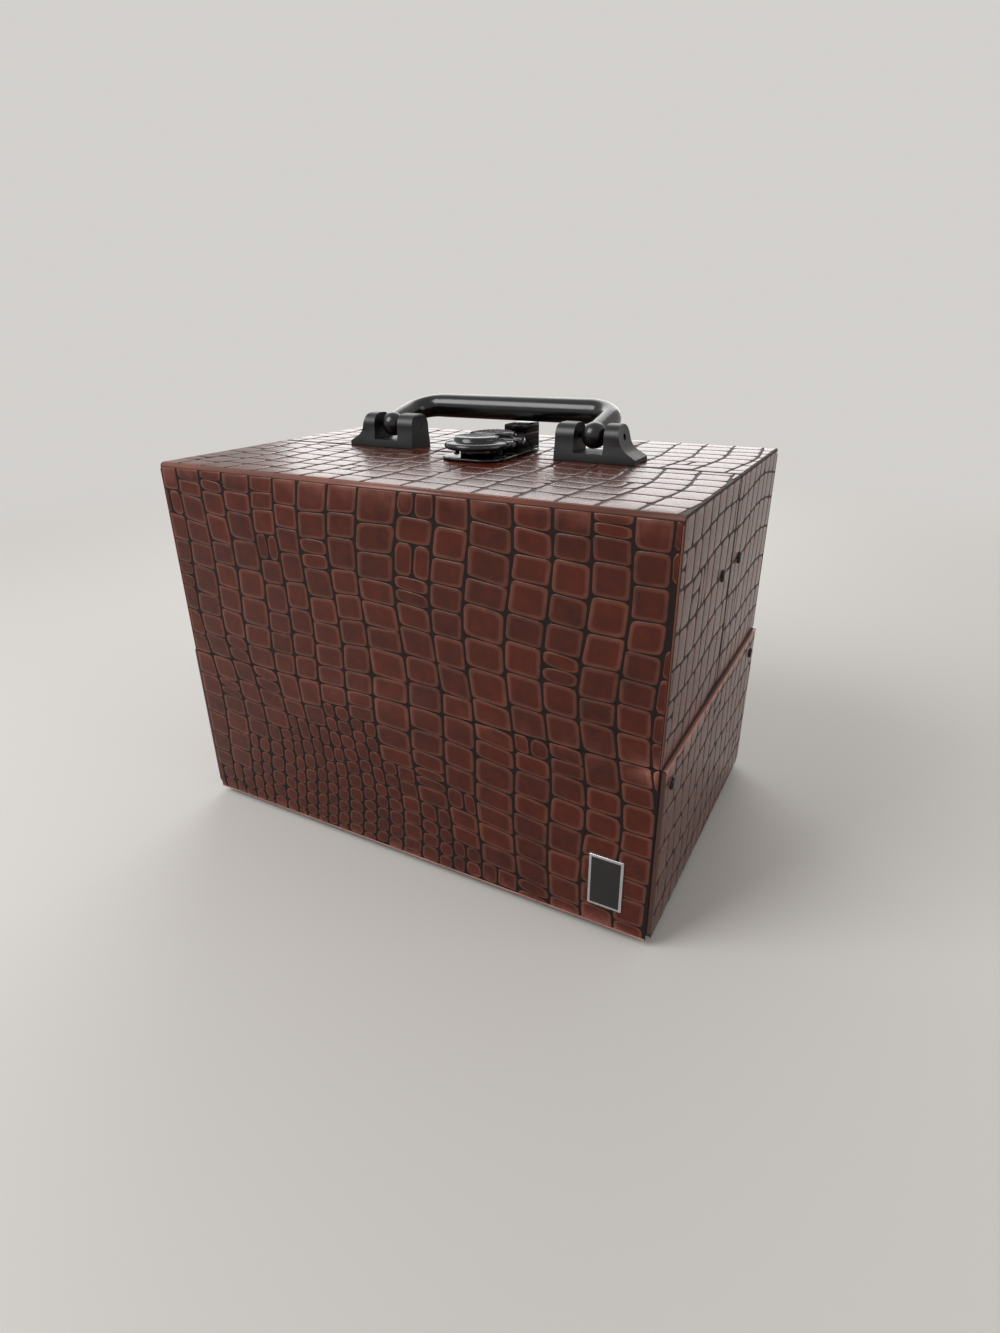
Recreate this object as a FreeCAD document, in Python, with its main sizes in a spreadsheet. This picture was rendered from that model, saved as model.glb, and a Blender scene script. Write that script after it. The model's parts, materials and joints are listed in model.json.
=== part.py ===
import FreeCAD, Part
import math
import os
import re

import Sketcher
from FreeCAD import Placement, Rotation, Vector

# A makeup train case: a boarded base, two half lids that hinge on the crease of the
# covering, a tray on each lid that a pair of arms keeps level, a folding handle and a
# flip latch. Millimetres, +Z up, front face towards -Y. The origin is on the surface
# that the feet stand on, under the middle of the case.

SIZES = {
    # Case and boards.
    "case_width": 250.0,  # over the covering of the lid ends
    "case_depth": 166.0,  # over the covering of the front and rear
    "base_height": 84.0,  # underside of the floor to the crease
    "lid_height": 96.0,  # crease to the top of the lids
    "board": 2.4,  # front, rear, top and floor boards
    "lid_end": 1.7,  # end boards of the lids
    "base_end": 3.5,  # end panels of the base, which stand proud of the lid ends
    "cover": 0.8,  # thickness of the covering
    "edge_round": 3.0,  # outer radius of the covering over the top front edge
    "corner_round": 4.0,  # lower corners of the base end panels
    "seam_gap": 0.8,  # between the two lids
    "crease_gap": 0.4,  # between the base and the lids
    "strip_height": 10.0,  # covering that bends at the crease
    "bevel": 1.6,  # inner top edge of the base front and rear boards
    # Feet.
    "foot_height": 4.0,
    "foot_radius": 7.0,
    "foot_tread": 5.0,  # radius of the flat that stands on the surface
    "foot_inset": 22.0,  # foot centre from the case's sides
    "peg_radius": 2.5,
    # Pivots of the tray mechanism, seen from the end of the case.
    "pivot_inset": 11.0,  # base pivot behind the crease
    "pivot_drop": 11.0,  # base pivot below the crease
    "lid_pivot_setback": 15.2,  # lid pivot from the seam's middle
    "lid_pivot_rise": 57.0,  # lid pivot above the crease
    "pin_radius": 1.5,
    "running_fit": 0.06,  # radial clearance of a turning fit
    "side_play": 0.1,  # end clearance beside a turning strap or wall
    "rivet_head": 2.6,  # radius of a rivet's outer head
    "rivet_height": 1.3,
    "clinch_head": 3.0,  # radius of a rivet's inner head and of its shoulder
    "clinch_height": 0.9,
    # Arms.
    "arm_width": 7.0,
    "arm_thickness": 1.5,
    "arm_lid_gap": 1.7,  # arm to the lid end
    "arm_tray_gap": 1.0,  # arm to the tray end
    "knee_run": 22.4,  # first leg of the arm, along the case's depth
    "knee_rise": 5.2,  # first leg of the arm, upwards
    # Trays.
    "tray_reach": 33.0,  # tray front wall from the lid pivot
    "tray_clear": 0.6,  # tray inner wall from the seam's middle
    "tray_rim_rise": 10.0,  # rim above the lid pivot
    "tray_depth": 43.0,
    "tray_wall": 1.8,
    "tray_round": 4.0,
    "divider": 1.6,
    "divider_drop": 8.0,  # divider tops below the rim
    "well_width": 62.0,  # each of the two outer wells
    # Handle.
    "hub_spacing": 112.0,  # between the hub centres
    "hub_radius": 6.0,
    "bail_arm_radius": 5.4,
    "bail_bend": 13.0,  # centreline radius of the bail's corners
    "grip_radius": 6.0,
    "grip_length": 82.0,
    "handle_reach": 29.6,  # pivot to the grip's centreline
    "handle_lean": 14.0,  # degrees above level when the handle lies back
    "handle_back": 9.2,  # pivot behind the seam's middle
    "handle_rise": 10.8,  # pivot above the top
    # Handle brackets.
    "bracket_depth": 16.4,
    "bracket_toe": 2.2,  # height of the foot's outer end
    "toe_reach": 9.5,  # foot's outer end beyond the outer ear
    "heel_reach": 0.4,  # foot's inner end beyond the inner ear
    "inner_ear": 9.0,  # thickness of the ear towards the latch
    "outer_ear": 6.0,
    "ear_top": 16.3,
    "ear_corner": 1.6,
    "ear_round": 7.4,  # ear's top, round the pin
    "slot_floor": 3.6,
    "slot_side_play": 1.2,  # hub to each ear
    # Latch.
    "latch_offset": 6.0,  # latch to the right of the middle
    "latch_half_width": 15.5,
    "latch_plate_thickness": 1.6,
    "latch_front": 23.0,  # front end of the latch plate, from the seam's middle
    "latch_rear": 28.0,  # rear end of the catch plate
    "latch_plate_round": 9.0,
    "latch_split": 0.6,  # plates and catch from the seam's middle
    "pedestal_half_width": 8.5,
    "rim_bottom": 5.0,
    "rim_top": 8.0,
    "crown_inset": 4.5,  # upper tier inside the rim
    "lever_reach": 26.0,  # lever tip from the seam's middle
    "lever_pivot_back": 4.5,  # lever pivot from the seam's middle
    "lever_pivot_rise": 6.3,  # lever pivot above the top
    "lever_roll": 4.3,  # rounded rear end of the lever, about the pivot
    "lever_clear": 0.3,
    "latch_pin_radius": 1.25,
    "lug_inner": 6.0,
    "lug_outer": 8.5,
    "lug_round": 2.8,
    "rim_round": 1.3,
    "crown_round": 1.0,
    "catch_reach": 20.0,  # rear end of the catch's rim
    "block_half_width": 5.5,
    "block_rear": 45.0,
    "block_front": 27.0,  # where the block's level top starts
    "rest_gap": 0.3,  # grip to the block that it rests over
}

doc = FreeCAD.newDocument("makeup_train_case")
sheet = doc.addObject("Spreadsheet::Sheet", "Sizes")
for row, (alias, value) in enumerate(SIZES.items(), start=1):
    sheet.set(f"A{row}", alias)
    sheet.set(f"B{row}", str(value))
    sheet.setAlias(f"B{row}", alias)
doc.recompute()

NODES = {}  # label of each sub-part and its object


# Helpers.


def bound(text):
    """Expression with every size name pointing at its cell."""
    return re.sub(
        r"[a-z_]+",
        lambda word: "Sizes." + word.group() if word.group() in SIZES else word.group(),
        str(text),
    )


def size(text):
    """Value of an expression, in millimetres or degrees."""
    return float(sheet.evalExpression(bound(text)))


def bind(thing, name, text):
    """Tie a property to the sheet."""
    thing.setExpression(name, bound(text))


def keep(label, thing):
    """Register a sub-part under its label."""
    thing.Label = label
    NODES[label] = thing
    return thing


def new_body(name):
    """Empty body."""
    return doc.addObject("PartDesign::Body", name)


def new_sketch(body, role, offset="0"):
    """Sketch on an origin plane of its body, moved along the plane's normal."""
    sketch = body.newObject("Sketcher::SketchObject", body.Name + "_sketch")
    plane = next(f for f in body.Origin.OriginFeatures if f.Role == role)
    sketch.AttachmentSupport = [(plane, "")]
    sketch.MapMode = "FlatFace"
    bind(sketch, "AttachmentOffset.Base.z", offset)
    return sketch


def fix(sketch, kind, geometry, position, text, name):
    """Distance of a point from the sketch origin, tied to the sheet."""
    index = sketch.addConstraint(
        Sketcher.Constraint(kind, -1, 1, geometry, position, size(text))
    )
    sketch.renameConstraint(index, name)
    bind(sketch, "Constraints." + name, text)


def fix_radius(sketch, geometry, text, name):
    """Radius of a circle or arc, tied to the sheet."""
    index = sketch.addConstraint(Sketcher.Constraint("Radius", geometry, size(text)))
    sketch.renameConstraint(index, name)
    bind(sketch, "Constraints." + name, text)


def polygon(sketch, points):
    """Closed outline through points given as pairs of expressions."""
    places = [Vector(size(u), size(v), 0) for u, v in points]
    count = len(points)
    first = sketch.GeometryCount
    for i in range(count):
        sketch.addGeometry(Part.LineSegment(places[i], places[(i + 1) % count]), False)
    for i in range(count):
        ends = (first + i, 2, first + (i + 1) % count, 1)
        sketch.addConstraint(Sketcher.Constraint("Coincident", *ends))
    for i, (u, v) in enumerate(points):
        fix(sketch, "DistanceX", first + i, 1, u, f"u{first + i}")
        fix(sketch, "DistanceY", first + i, 1, v, f"v{first + i}")


def rectangle(sketch, low, high):
    """Rectangle between two corners."""
    polygon(sketch, [low, (high[0], low[1]), high, (low[0], high[1])])


def circle(sketch, u, v, radius):
    """Circle about a point."""
    index = sketch.addGeometry(
        Part.Circle(Vector(size(u), size(v), 0), Vector(0, 0, 1), size(radius)), False
    )
    fix(sketch, "DistanceX", index, 3, u, f"cu{index}")
    fix(sketch, "DistanceY", index, 3, v, f"cv{index}")
    fix_radius(sketch, index, radius, f"r{index}")


def slot(sketch, start, end, radius):
    """Strap outline with round ends about two points."""
    a = Vector(size(start[0]), size(start[1]), 0)
    b = Vector(size(end[0]), size(end[1]), 0)
    r = size(radius)
    turn = math.atan2(b.y - a.y, b.x - a.x)
    side = Vector(-math.sin(turn), math.cos(turn), 0) * r
    up = Vector(0, 0, 1)
    ring_a = Part.ArcOfCircle(
        Part.Circle(a, up, r), turn + math.pi / 2, turn + 3 * math.pi / 2
    )
    ring_b = Part.ArcOfCircle(Part.Circle(b, up, r), turn - math.pi / 2, turn + math.pi / 2)
    arc_a = sketch.addGeometry(ring_a, False)
    lower = sketch.addGeometry(Part.LineSegment(a - side, b - side), False)
    arc_b = sketch.addGeometry(ring_b, False)
    upper = sketch.addGeometry(Part.LineSegment(b + side, a + side), False)
    sketch.addConstraint(Sketcher.Constraint("Tangent", arc_a, 2, lower, 1))
    sketch.addConstraint(Sketcher.Constraint("Tangent", lower, 2, arc_b, 1))
    sketch.addConstraint(Sketcher.Constraint("Tangent", arc_b, 2, upper, 1))
    sketch.addConstraint(Sketcher.Constraint("Tangent", upper, 2, arc_a, 1))
    fix(sketch, "DistanceX", arc_a, 3, start[0], "start_u")
    fix(sketch, "DistanceY", arc_a, 3, start[1], "start_v")
    fix(sketch, "DistanceX", arc_b, 3, end[0], "end_u")
    fix(sketch, "DistanceY", arc_b, 3, end[1], "end_v")
    fix_radius(sketch, arc_a, radius, "strap_radius")


def tongue(sketch, half_width, tip, root, way):
    """Half an oval in plan: straight sides from the root, then a half round to the tip.

    The way is 1 for a tip towards -Y and -1 for a tip towards +Y.
    """
    r = size(half_width)
    centre = f"({tip}) + {way} * ({half_width})"
    c = Vector(0, size(centre), 0)
    turn = math.pi if way > 0 else 0.0
    ring = Part.ArcOfCircle(Part.Circle(c, Vector(0, 0, 1), r), turn, turn + math.pi)
    left = -r if way > 0 else r
    end = size(root)
    arc = sketch.addGeometry(ring, False)
    out = sketch.addGeometry(Part.LineSegment(Vector(-left, c.y, 0), Vector(-left, end, 0)), False)
    base = sketch.addGeometry(Part.LineSegment(Vector(-left, end, 0), Vector(left, end, 0)), False)
    back = sketch.addGeometry(Part.LineSegment(Vector(left, end, 0), Vector(left, c.y, 0)), False)
    for one, two in ((arc, out), (out, base), (base, back), (back, arc)):
        sketch.addConstraint(Sketcher.Constraint("Coincident", one, 2, two, 1))
    fix(sketch, "DistanceX", arc, 3, "0", "centre_u")
    fix(sketch, "DistanceY", arc, 3, centre, "centre_v")
    fix_radius(sketch, arc, half_width, "tip_radius")
    fix(sketch, "DistanceY", arc, 1, centre, "side_start")
    fix(sketch, "DistanceY", arc, 2, centre, "side_end")
    fix(sketch, "DistanceY", base, 1, root, "root_start")
    fix(sketch, "DistanceY", base, 2, root, "root_end")
    sketch.addConstraint(Sketcher.Constraint("Vertical", out))
    sketch.addConstraint(Sketcher.Constraint("Vertical", back))


def pad(body, sketch, length, both=False):
    """Raise a sketch along its normal, or to both sides of it."""
    feature = body.newObject("PartDesign::Pad", body.Name + "_pad")
    feature.Profile = sketch
    if both:
        feature.SideType = "Symmetric"
    bind(feature, "Length", length)
    doc.recompute()
    return feature


def pocket(body, sketch, length, both=False):
    """Cut a sketch against its normal, or to both sides of it."""
    before = body.Shape.Volume
    feature = body.newObject("PartDesign::Pocket", body.Name + "_pocket")
    feature.Profile = sketch
    if both:
        feature.SideType = "Symmetric"
    bind(feature, "Length", length)
    doc.recompute()
    if body.Shape.Volume > before - 1e-6:
        raise ValueError(f"a cut in {body.Name} removes nothing")
    return feature


def revolve(body, sketch, axis):
    """Turn a sketch once round one of its own axes."""
    feature = body.newObject("PartDesign::Revolution", body.Name + "_turned")
    feature.Profile = sketch
    feature.ReferenceAxis = (sketch, [axis])
    feature.Angle = 360.0
    doc.recompute()
    return feature


def edges_at(shape, reach=0.01, **place):
    """Names of the edges whose middle lies at the given coordinates."""
    names = []
    for i, edge in enumerate(shape.Edges, start=1):
        middle = edge.BoundBox.Center
        if all(abs(getattr(middle, k) - size(v)) < reach for k, v in place.items()):
            names.append(f"Edge{i}")
    if not names:
        raise ValueError(f"no edge at {place}")
    return names


def round_edges(body, radius, names):
    """Fillet edges of the body's last feature."""
    base = body.Tip
    feature = body.newObject("PartDesign::Fillet", body.Name + "_round")
    feature.Base = (base, names)
    bind(feature, "Radius", radius)
    doc.recompute()
    return feature


def bevel_edges(body, width, names):
    """Chamfer edges of the body's last feature."""
    base = body.Tip
    feature = body.newObject("PartDesign::Chamfer", body.Name + "_bevel")
    feature.Base = (base, names)
    bind(feature, "Size", width)
    doc.recompute()
    return feature


def mirrored(source, axis):
    """Copy on the other side of the case's middle, across its width or its depth."""
    copy = doc.addObject("Part::Mirroring", source.Name + "_other")
    copy.Source = source
    copy.Normal = Vector(1, 0, 0) if axis == "x" else Vector(0, 1, 0)
    doc.recompute()
    return copy


def grouped(label, members):
    """One node that holds several like solids."""
    group = doc.addObject("Part::Compound", label)
    group.Links = members
    doc.recompute()
    return keep(label, group)


def pair_x(name, source):
    """Right piece and its mirror on the left."""
    keep(name + "_right", source)
    keep(name + "_left", mirrored(source, "x"))


def pair_y(name, source):
    """Front piece and its mirror at the rear."""
    keep("front_" + name, source)
    keep("rear_" + name, mirrored(source, "y"))


def four(name, source):
    """Front right piece and its three mirrors, each a node of its own."""
    rear = mirrored(source, "y")
    keep(f"front_{name}_right", source)
    keep(f"front_{name}_left", mirrored(source, "x"))
    keep(f"rear_{name}_right", rear)
    keep(f"rear_{name}_left", mirrored(rear, "x"))


# Planes and pivots that several pieces share.

FRONT = "(-case_depth / 2)"
CREASE = "(foot_height + base_height)"
TOP = "(foot_height + base_height + lid_height)"
BASE_RIM = f"({CREASE} - crease_gap / 2)"
LID_RIM = f"({CREASE} + crease_gap / 2)"
SEAM = "(-seam_gap / 2)"
END_INSIDE = "(case_width / 2 - cover - lid_end)"
ARM_OUTSIDE = f"({END_INSIDE} - arm_lid_gap)"
ARM_INSIDE = f"({ARM_OUTSIDE} - arm_thickness)"
TRAY_END = f"({ARM_INSIDE} - arm_tray_gap)"
BASE_PIVOT = (f"({FRONT} + pivot_inset)", f"({CREASE} - pivot_drop)")
LID_PIVOT = ("(-lid_pivot_setback)", f"({CREASE} + lid_pivot_rise)")
TRAY_PIVOT = (f"({LID_PIVOT[0]} + pivot_inset)", f"({LID_PIVOT[1]} - pivot_drop)")
SHAFT_HOLE = "(pin_radius + running_fit)"


# Base.


def base_floor():
    """Floor board with a hole for each foot's peg."""
    body = new_body("base_floor")
    sketch = new_sketch(body, "XY_Plane", "foot_height")
    reach = (END_INSIDE, "(case_depth / 2 - cover)")
    rectangle(sketch, (f"-{reach[0]}", f"-{reach[1]}"), reach)
    pad(body, sketch, "board")
    holes = new_sketch(body, "XY_Plane", "foot_height + board")
    for across in (-1, 1):
        for along in (-1, 1):
            centre_x = f"{across} * (case_width / 2 - foot_inset)"
            centre_y = f"{along} * (case_depth / 2 - foot_inset)"
            circle(holes, centre_x, centre_y, "peg_radius")
    pocket(body, holes, "board")
    keep("base_floor", body)


def base_wall():
    """Front and rear boards, bevelled inside at the top where the arms swing over."""
    body = new_body("base_wall")
    sketch = new_sketch(body, "YZ_Plane")
    inside = f"({FRONT} + cover + board)"
    rectangle(sketch, (f"{FRONT} + cover", "foot_height + board"), (inside, BASE_RIM))
    pad(body, sketch, f"2 * {END_INSIDE}", both=True)
    bevel_edges(body, "bevel", edges_at(body.Shape, y=inside, z=BASE_RIM))
    pair_y("base_board", body)


def end_outline(body, offset):
    """Outline of a base end with its two pivot holes."""
    sketch = new_sketch(body, "YZ_Plane", offset)
    reach = "(case_depth / 2 - cover)"
    rectangle(sketch, (f"-{reach}", "foot_height"), (reach, BASE_RIM))
    for way in ("", "-"):
        circle(sketch, f"{way}{BASE_PIVOT[0]}", BASE_PIVOT[1], "pin_radius")
    return sketch


def base_ends():
    """End panels that stand proud of the lid ends, and the covering on them."""
    reach = "(case_depth / 2 - cover)"
    panel = new_body("base_end")
    pad(panel, end_outline(panel, END_INSIDE), "base_end")
    for way in ("", "-"):
        corner = edges_at(panel.Shape, y=f"{way}{reach}", z="foot_height")
        round_edges(panel, "corner_round", corner)
    pair_x("base_end", panel)
    sheet_body = new_body("base_end_cover")
    pad(sheet_body, end_outline(sheet_body, f"{END_INSIDE} + base_end"), "cover")
    for way in ("", "-"):
        corner = edges_at(sheet_body.Shape, y=f"{way}{reach}", z="foot_height")
        round_edges(sheet_body, "corner_round", corner)
    pair_x("base_end_cover", sheet_body)


def base_covers():
    """Covering of the front and rear, and the strip of it that bends at the crease."""
    half = "strip_height / 2"
    body = new_body("base_cover")
    sketch = new_sketch(body, "YZ_Plane")
    rectangle(sketch, (FRONT, "foot_height"), (f"{FRONT} + cover", f"{CREASE} - {half}"))
    pad(body, sketch, "case_width", both=True)
    pair_y("base_cover", body)
    strip = new_body("hinge_strip")
    sketch = new_sketch(strip, "YZ_Plane")
    low = (FRONT, f"{CREASE} - {half}")
    rectangle(sketch, low, (f"{FRONT} + cover", f"{CREASE} + {half}"))
    pad(strip, sketch, "case_width", both=True)
    pair_y("hinge_strip", strip)


def feet():
    """Four turned feet, each with a peg through the floor."""
    body = new_body("foot")
    sketch = new_sketch(body, "XZ_Plane")
    outline = [
        ("0", "0"),
        ("foot_tread", "0"),
        ("foot_radius", "foot_height / 2"),
        ("foot_radius", "foot_height"),
        ("peg_radius", "foot_height"),
        ("peg_radius", "foot_height + board"),
        ("0", "foot_height + board"),
    ]
    polygon(sketch, outline)
    revolve(body, sketch, "V_Axis")
    bind(body, "Placement.Base.x", "case_width / 2 - foot_inset")
    bind(body, "Placement.Base.y", f"{FRONT} + foot_inset")
    doc.recompute()
    rear = mirrored(body, "y")
    grouped("feet", [body, mirrored(body, "x"), rear, mirrored(rear, "x")])


# Rivets that the mechanism turns on.


def turned_rivet(name, outline, place, head):
    """Rivet along the case's width, turned from half its outline, with a domed head."""
    body = new_body(name)
    sketch = new_sketch(body, "XZ_Plane")
    polygon(sketch, outline)
    revolve(body, sketch, "H_Axis")
    rim = [
        f"Edge{i}"
        for i, edge in enumerate(body.Shape.Edges, start=1)
        if abs(edge.BoundBox.Center.x - size(head)) < 0.01
        and abs(edge.BoundBox.ZMax - size("rivet_head")) < 0.01
        and edge.BoundBox.XLength < 0.01
    ]
    round_edges(body, "rivet_height * 0.8", rim)
    bind(body, "Placement.Base.y", place[0])
    bind(body, "Placement.Base.z", place[1])
    doc.recompute()
    return body


def base_arm_rivets():
    """Shoulder rivets that hold the arms to the base end panels."""
    outside = f"({END_INSIDE} + base_end + cover)"
    shoulder = f"({ARM_OUTSIDE} + side_play)"
    clinch = f"({ARM_INSIDE} - side_play)"
    outline = [
        (f"{clinch} - clinch_height", "0"),
        (f"{clinch} - clinch_height", "clinch_head"),
        (clinch, "clinch_head"),
        (clinch, "pin_radius"),
        (shoulder, "pin_radius"),
        (shoulder, "clinch_head"),
        (END_INSIDE, "clinch_head"),
        (END_INSIDE, "pin_radius"),
        (outside, "pin_radius"),
        (outside, "rivet_head"),
        (f"{outside} + rivet_height", "rivet_head"),
        (f"{outside} + rivet_height", "0"),
    ]
    head = f"{outside} + rivet_height"
    body = turned_rivet("base_arm_rivet", outline, BASE_PIVOT, head)
    rear = mirrored(body, "y")
    grouped("base_arm_rivets", [body, mirrored(body, "x"), rear, mirrored(rear, "x")])


def lid_tray_rivets():
    """Shoulder rivets through the lid ends that the trays hang on."""
    outside = "(case_width / 2)"
    shoulder = f"({TRAY_END} + side_play)"
    clinch = f"({TRAY_END} - tray_wall - side_play)"
    outline = [
        (f"{clinch} - clinch_height", "0"),
        (f"{clinch} - clinch_height", "clinch_head"),
        (clinch, "clinch_head"),
        (clinch, "pin_radius"),
        (shoulder, "pin_radius"),
        (shoulder, "clinch_head"),
        (END_INSIDE, "clinch_head"),
        (END_INSIDE, "pin_radius"),
        (outside, "pin_radius"),
        (outside, "rivet_head"),
        (f"{outside} + rivet_height", "rivet_head"),
        (f"{outside} + rivet_height", "0"),
    ]
    head = f"{outside} + rivet_height"
    body = turned_rivet("lid_tray_rivet", outline, LID_PIVOT, head)
    rear = mirrored(body, "y")
    grouped("front_lid_rivets", [body, mirrored(body, "x")])
    grouped("rear_lid_rivets", [rear, mirrored(rear, "x")])


def tray_arm_rivets():
    """Headed studs, fast in the tray ends, that run in the arms."""
    inside = f"({TRAY_END} - tray_wall)"
    shoulder = f"({ARM_INSIDE} - side_play)"
    outside = f"({ARM_OUTSIDE} + side_play)"
    outline = [
        (inside, "0"),
        (inside, "pin_radius"),
        (TRAY_END, "pin_radius"),
        (TRAY_END, "clinch_head"),
        (shoulder, "clinch_head"),
        (shoulder, "pin_radius"),
        (outside, "pin_radius"),
        (outside, "rivet_head"),
        (f"{outside} + clinch_height", "rivet_head"),
        (f"{outside} + clinch_height", "0"),
    ]
    body = new_body("tray_arm_rivet")
    sketch = new_sketch(body, "XZ_Plane")
    polygon(sketch, outline)
    revolve(body, sketch, "H_Axis")
    bind(body, "Placement.Base.y", TRAY_PIVOT[0])
    bind(body, "Placement.Base.z", TRAY_PIVOT[1])
    doc.recompute()
    rear = mirrored(body, "y")
    grouped("front_tray_rivets", [body, mirrored(body, "x")])
    grouped("rear_tray_rivets", [rear, mirrored(rear, "x")])


# Lids.

BOARD_TOP = f"({TOP} - cover - board)"


def lid_boards():
    """Front, top and end boards of a half lid."""
    wall = new_body("lid_wall")
    sketch = new_sketch(wall, "YZ_Plane")
    outer = f"({FRONT} + cover)"
    rectangle(sketch, (outer, LID_RIM), (f"{outer} + board", BOARD_TOP))
    pad(wall, sketch, f"2 * {END_INSIDE}", both=True)
    pair_y("lid_board", wall)
    roof = new_body("lid_top")
    sketch = new_sketch(roof, "YZ_Plane")
    rectangle(sketch, (outer, BOARD_TOP), (SEAM, f"{TOP} - cover"))
    pad(roof, sketch, f"2 * ({END_INSIDE} + lid_end)", both=True)
    edge = edges_at(roof.Shape, y=outer, z=f"{TOP} - cover")
    round_edges(roof, "edge_round - cover", edge)
    pair_y("lid_top", roof)
    end = new_body("lid_end")
    sketch = new_sketch(end, "YZ_Plane", END_INSIDE)
    rectangle(sketch, (outer, LID_RIM), (SEAM, BOARD_TOP))
    circle(sketch, *LID_PIVOT, "pin_radius")
    pad(end, sketch, "lid_end")
    four("lid_end", end)


def lid_covers():
    """One sheet over the front and top with a rounded edge, and a sheet on each end."""
    body = new_body("lid_cover")
    sketch = new_sketch(body, "YZ_Plane")
    low = f"{CREASE} + strip_height / 2"
    inner = f"({FRONT} + cover)"
    under = f"({TOP} - cover)"
    outline = [
        (FRONT, low),
        (inner, low),
        (inner, under),
        (SEAM, under),
        (SEAM, TOP),
        (FRONT, TOP),
    ]
    polygon(sketch, outline)
    pad(body, sketch, "case_width", both=True)
    round_edges(body, "edge_round", edges_at(body.Shape, y=FRONT, z=TOP))
    round_edges(body, "edge_round - cover", edges_at(body.Shape, y=inner, z=under))
    pair_y("lid_cover", body)
    end = new_body("lid_end_cover")
    sketch = new_sketch(end, "YZ_Plane", f"{END_INSIDE} + lid_end")
    rectangle(sketch, (inner, LID_RIM), (SEAM, under))
    circle(sketch, *LID_PIVOT, "pin_radius")
    pad(end, sketch, "cover")
    round_edges(end, "edge_round - cover", edges_at(end.Shape, y=inner, z=under))
    four("lid_end_cover", end)


# Trays and arms.


def arms():
    """Bent steel strap from the base pivot to the tray pivot.

    The knee lets the first leg stand up beside the base's front board when the lid is
    fully open.
    """
    knee = (f"({BASE_PIVOT[0]} + knee_run)", f"({BASE_PIVOT[1]} + knee_rise)")
    body = new_body("tray_arm")
    for start, end in ((BASE_PIVOT, knee), (knee, TRAY_PIVOT)):
        leg = new_sketch(body, "YZ_Plane", ARM_INSIDE)
        slot(leg, start, end, "arm_width / 2")
        pad(body, leg, "arm_thickness")
    holes = new_sketch(body, "YZ_Plane", ARM_OUTSIDE)
    circle(holes, *BASE_PIVOT, SHAFT_HOLE)
    circle(holes, *TRAY_PIVOT, SHAFT_HOLE)
    pocket(body, holes, "arm_thickness")
    four("arm", body)


def trays():
    """Moulded tray with three wells and rounded corners, hung on its end walls."""
    front = f"({LID_PIVOT[0]} - tray_reach)"
    rear = "(-tray_clear)"
    rim = f"({LID_PIVOT[1]} + tray_rim_rise)"
    inner = f"({TRAY_END} - tray_wall)"
    body = new_body("tray")
    sketch = new_sketch(body, "XY_Plane", f"{rim} - tray_depth")
    rectangle(sketch, (f"-{TRAY_END}", front), (TRAY_END, rear))
    pad(body, sketch, "tray_depth")
    below = f"{rim} - tray_depth"
    long_edges = edges_at(body.Shape, x="0", z=below)
    round_edges(body, "tray_round", long_edges)
    mouth = new_sketch(body, "XY_Plane", rim)
    rectangle(mouth, (f"-{inner}", f"{front} + tray_wall"), (inner, f"{rear} - tray_wall"))
    pocket(body, mouth, "divider_drop")
    wells = new_sketch(body, "XY_Plane", rim)
    wall = f"({inner} - well_width)"
    spans = (
        (f"-{inner}", f"-{wall}"),
        (f"-({wall} - divider)", f"({wall} - divider)"),
        (wall, inner),
    )
    for low, high in spans:
        rectangle(wells, (low, f"{front} + tray_wall"), (high, f"{rear} - tray_wall"))
    pocket(body, wells, "tray_depth - tray_wall")
    pivots = new_sketch(body, "YZ_Plane")
    circle(pivots, *LID_PIVOT, SHAFT_HOLE)
    circle(pivots, *TRAY_PIVOT, "pin_radius")
    pocket(body, pivots, "case_width", both=True)
    pair_y("tray", body)


# Handle.

PIVOT_Z = f"({TOP} + handle_rise)"


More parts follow.
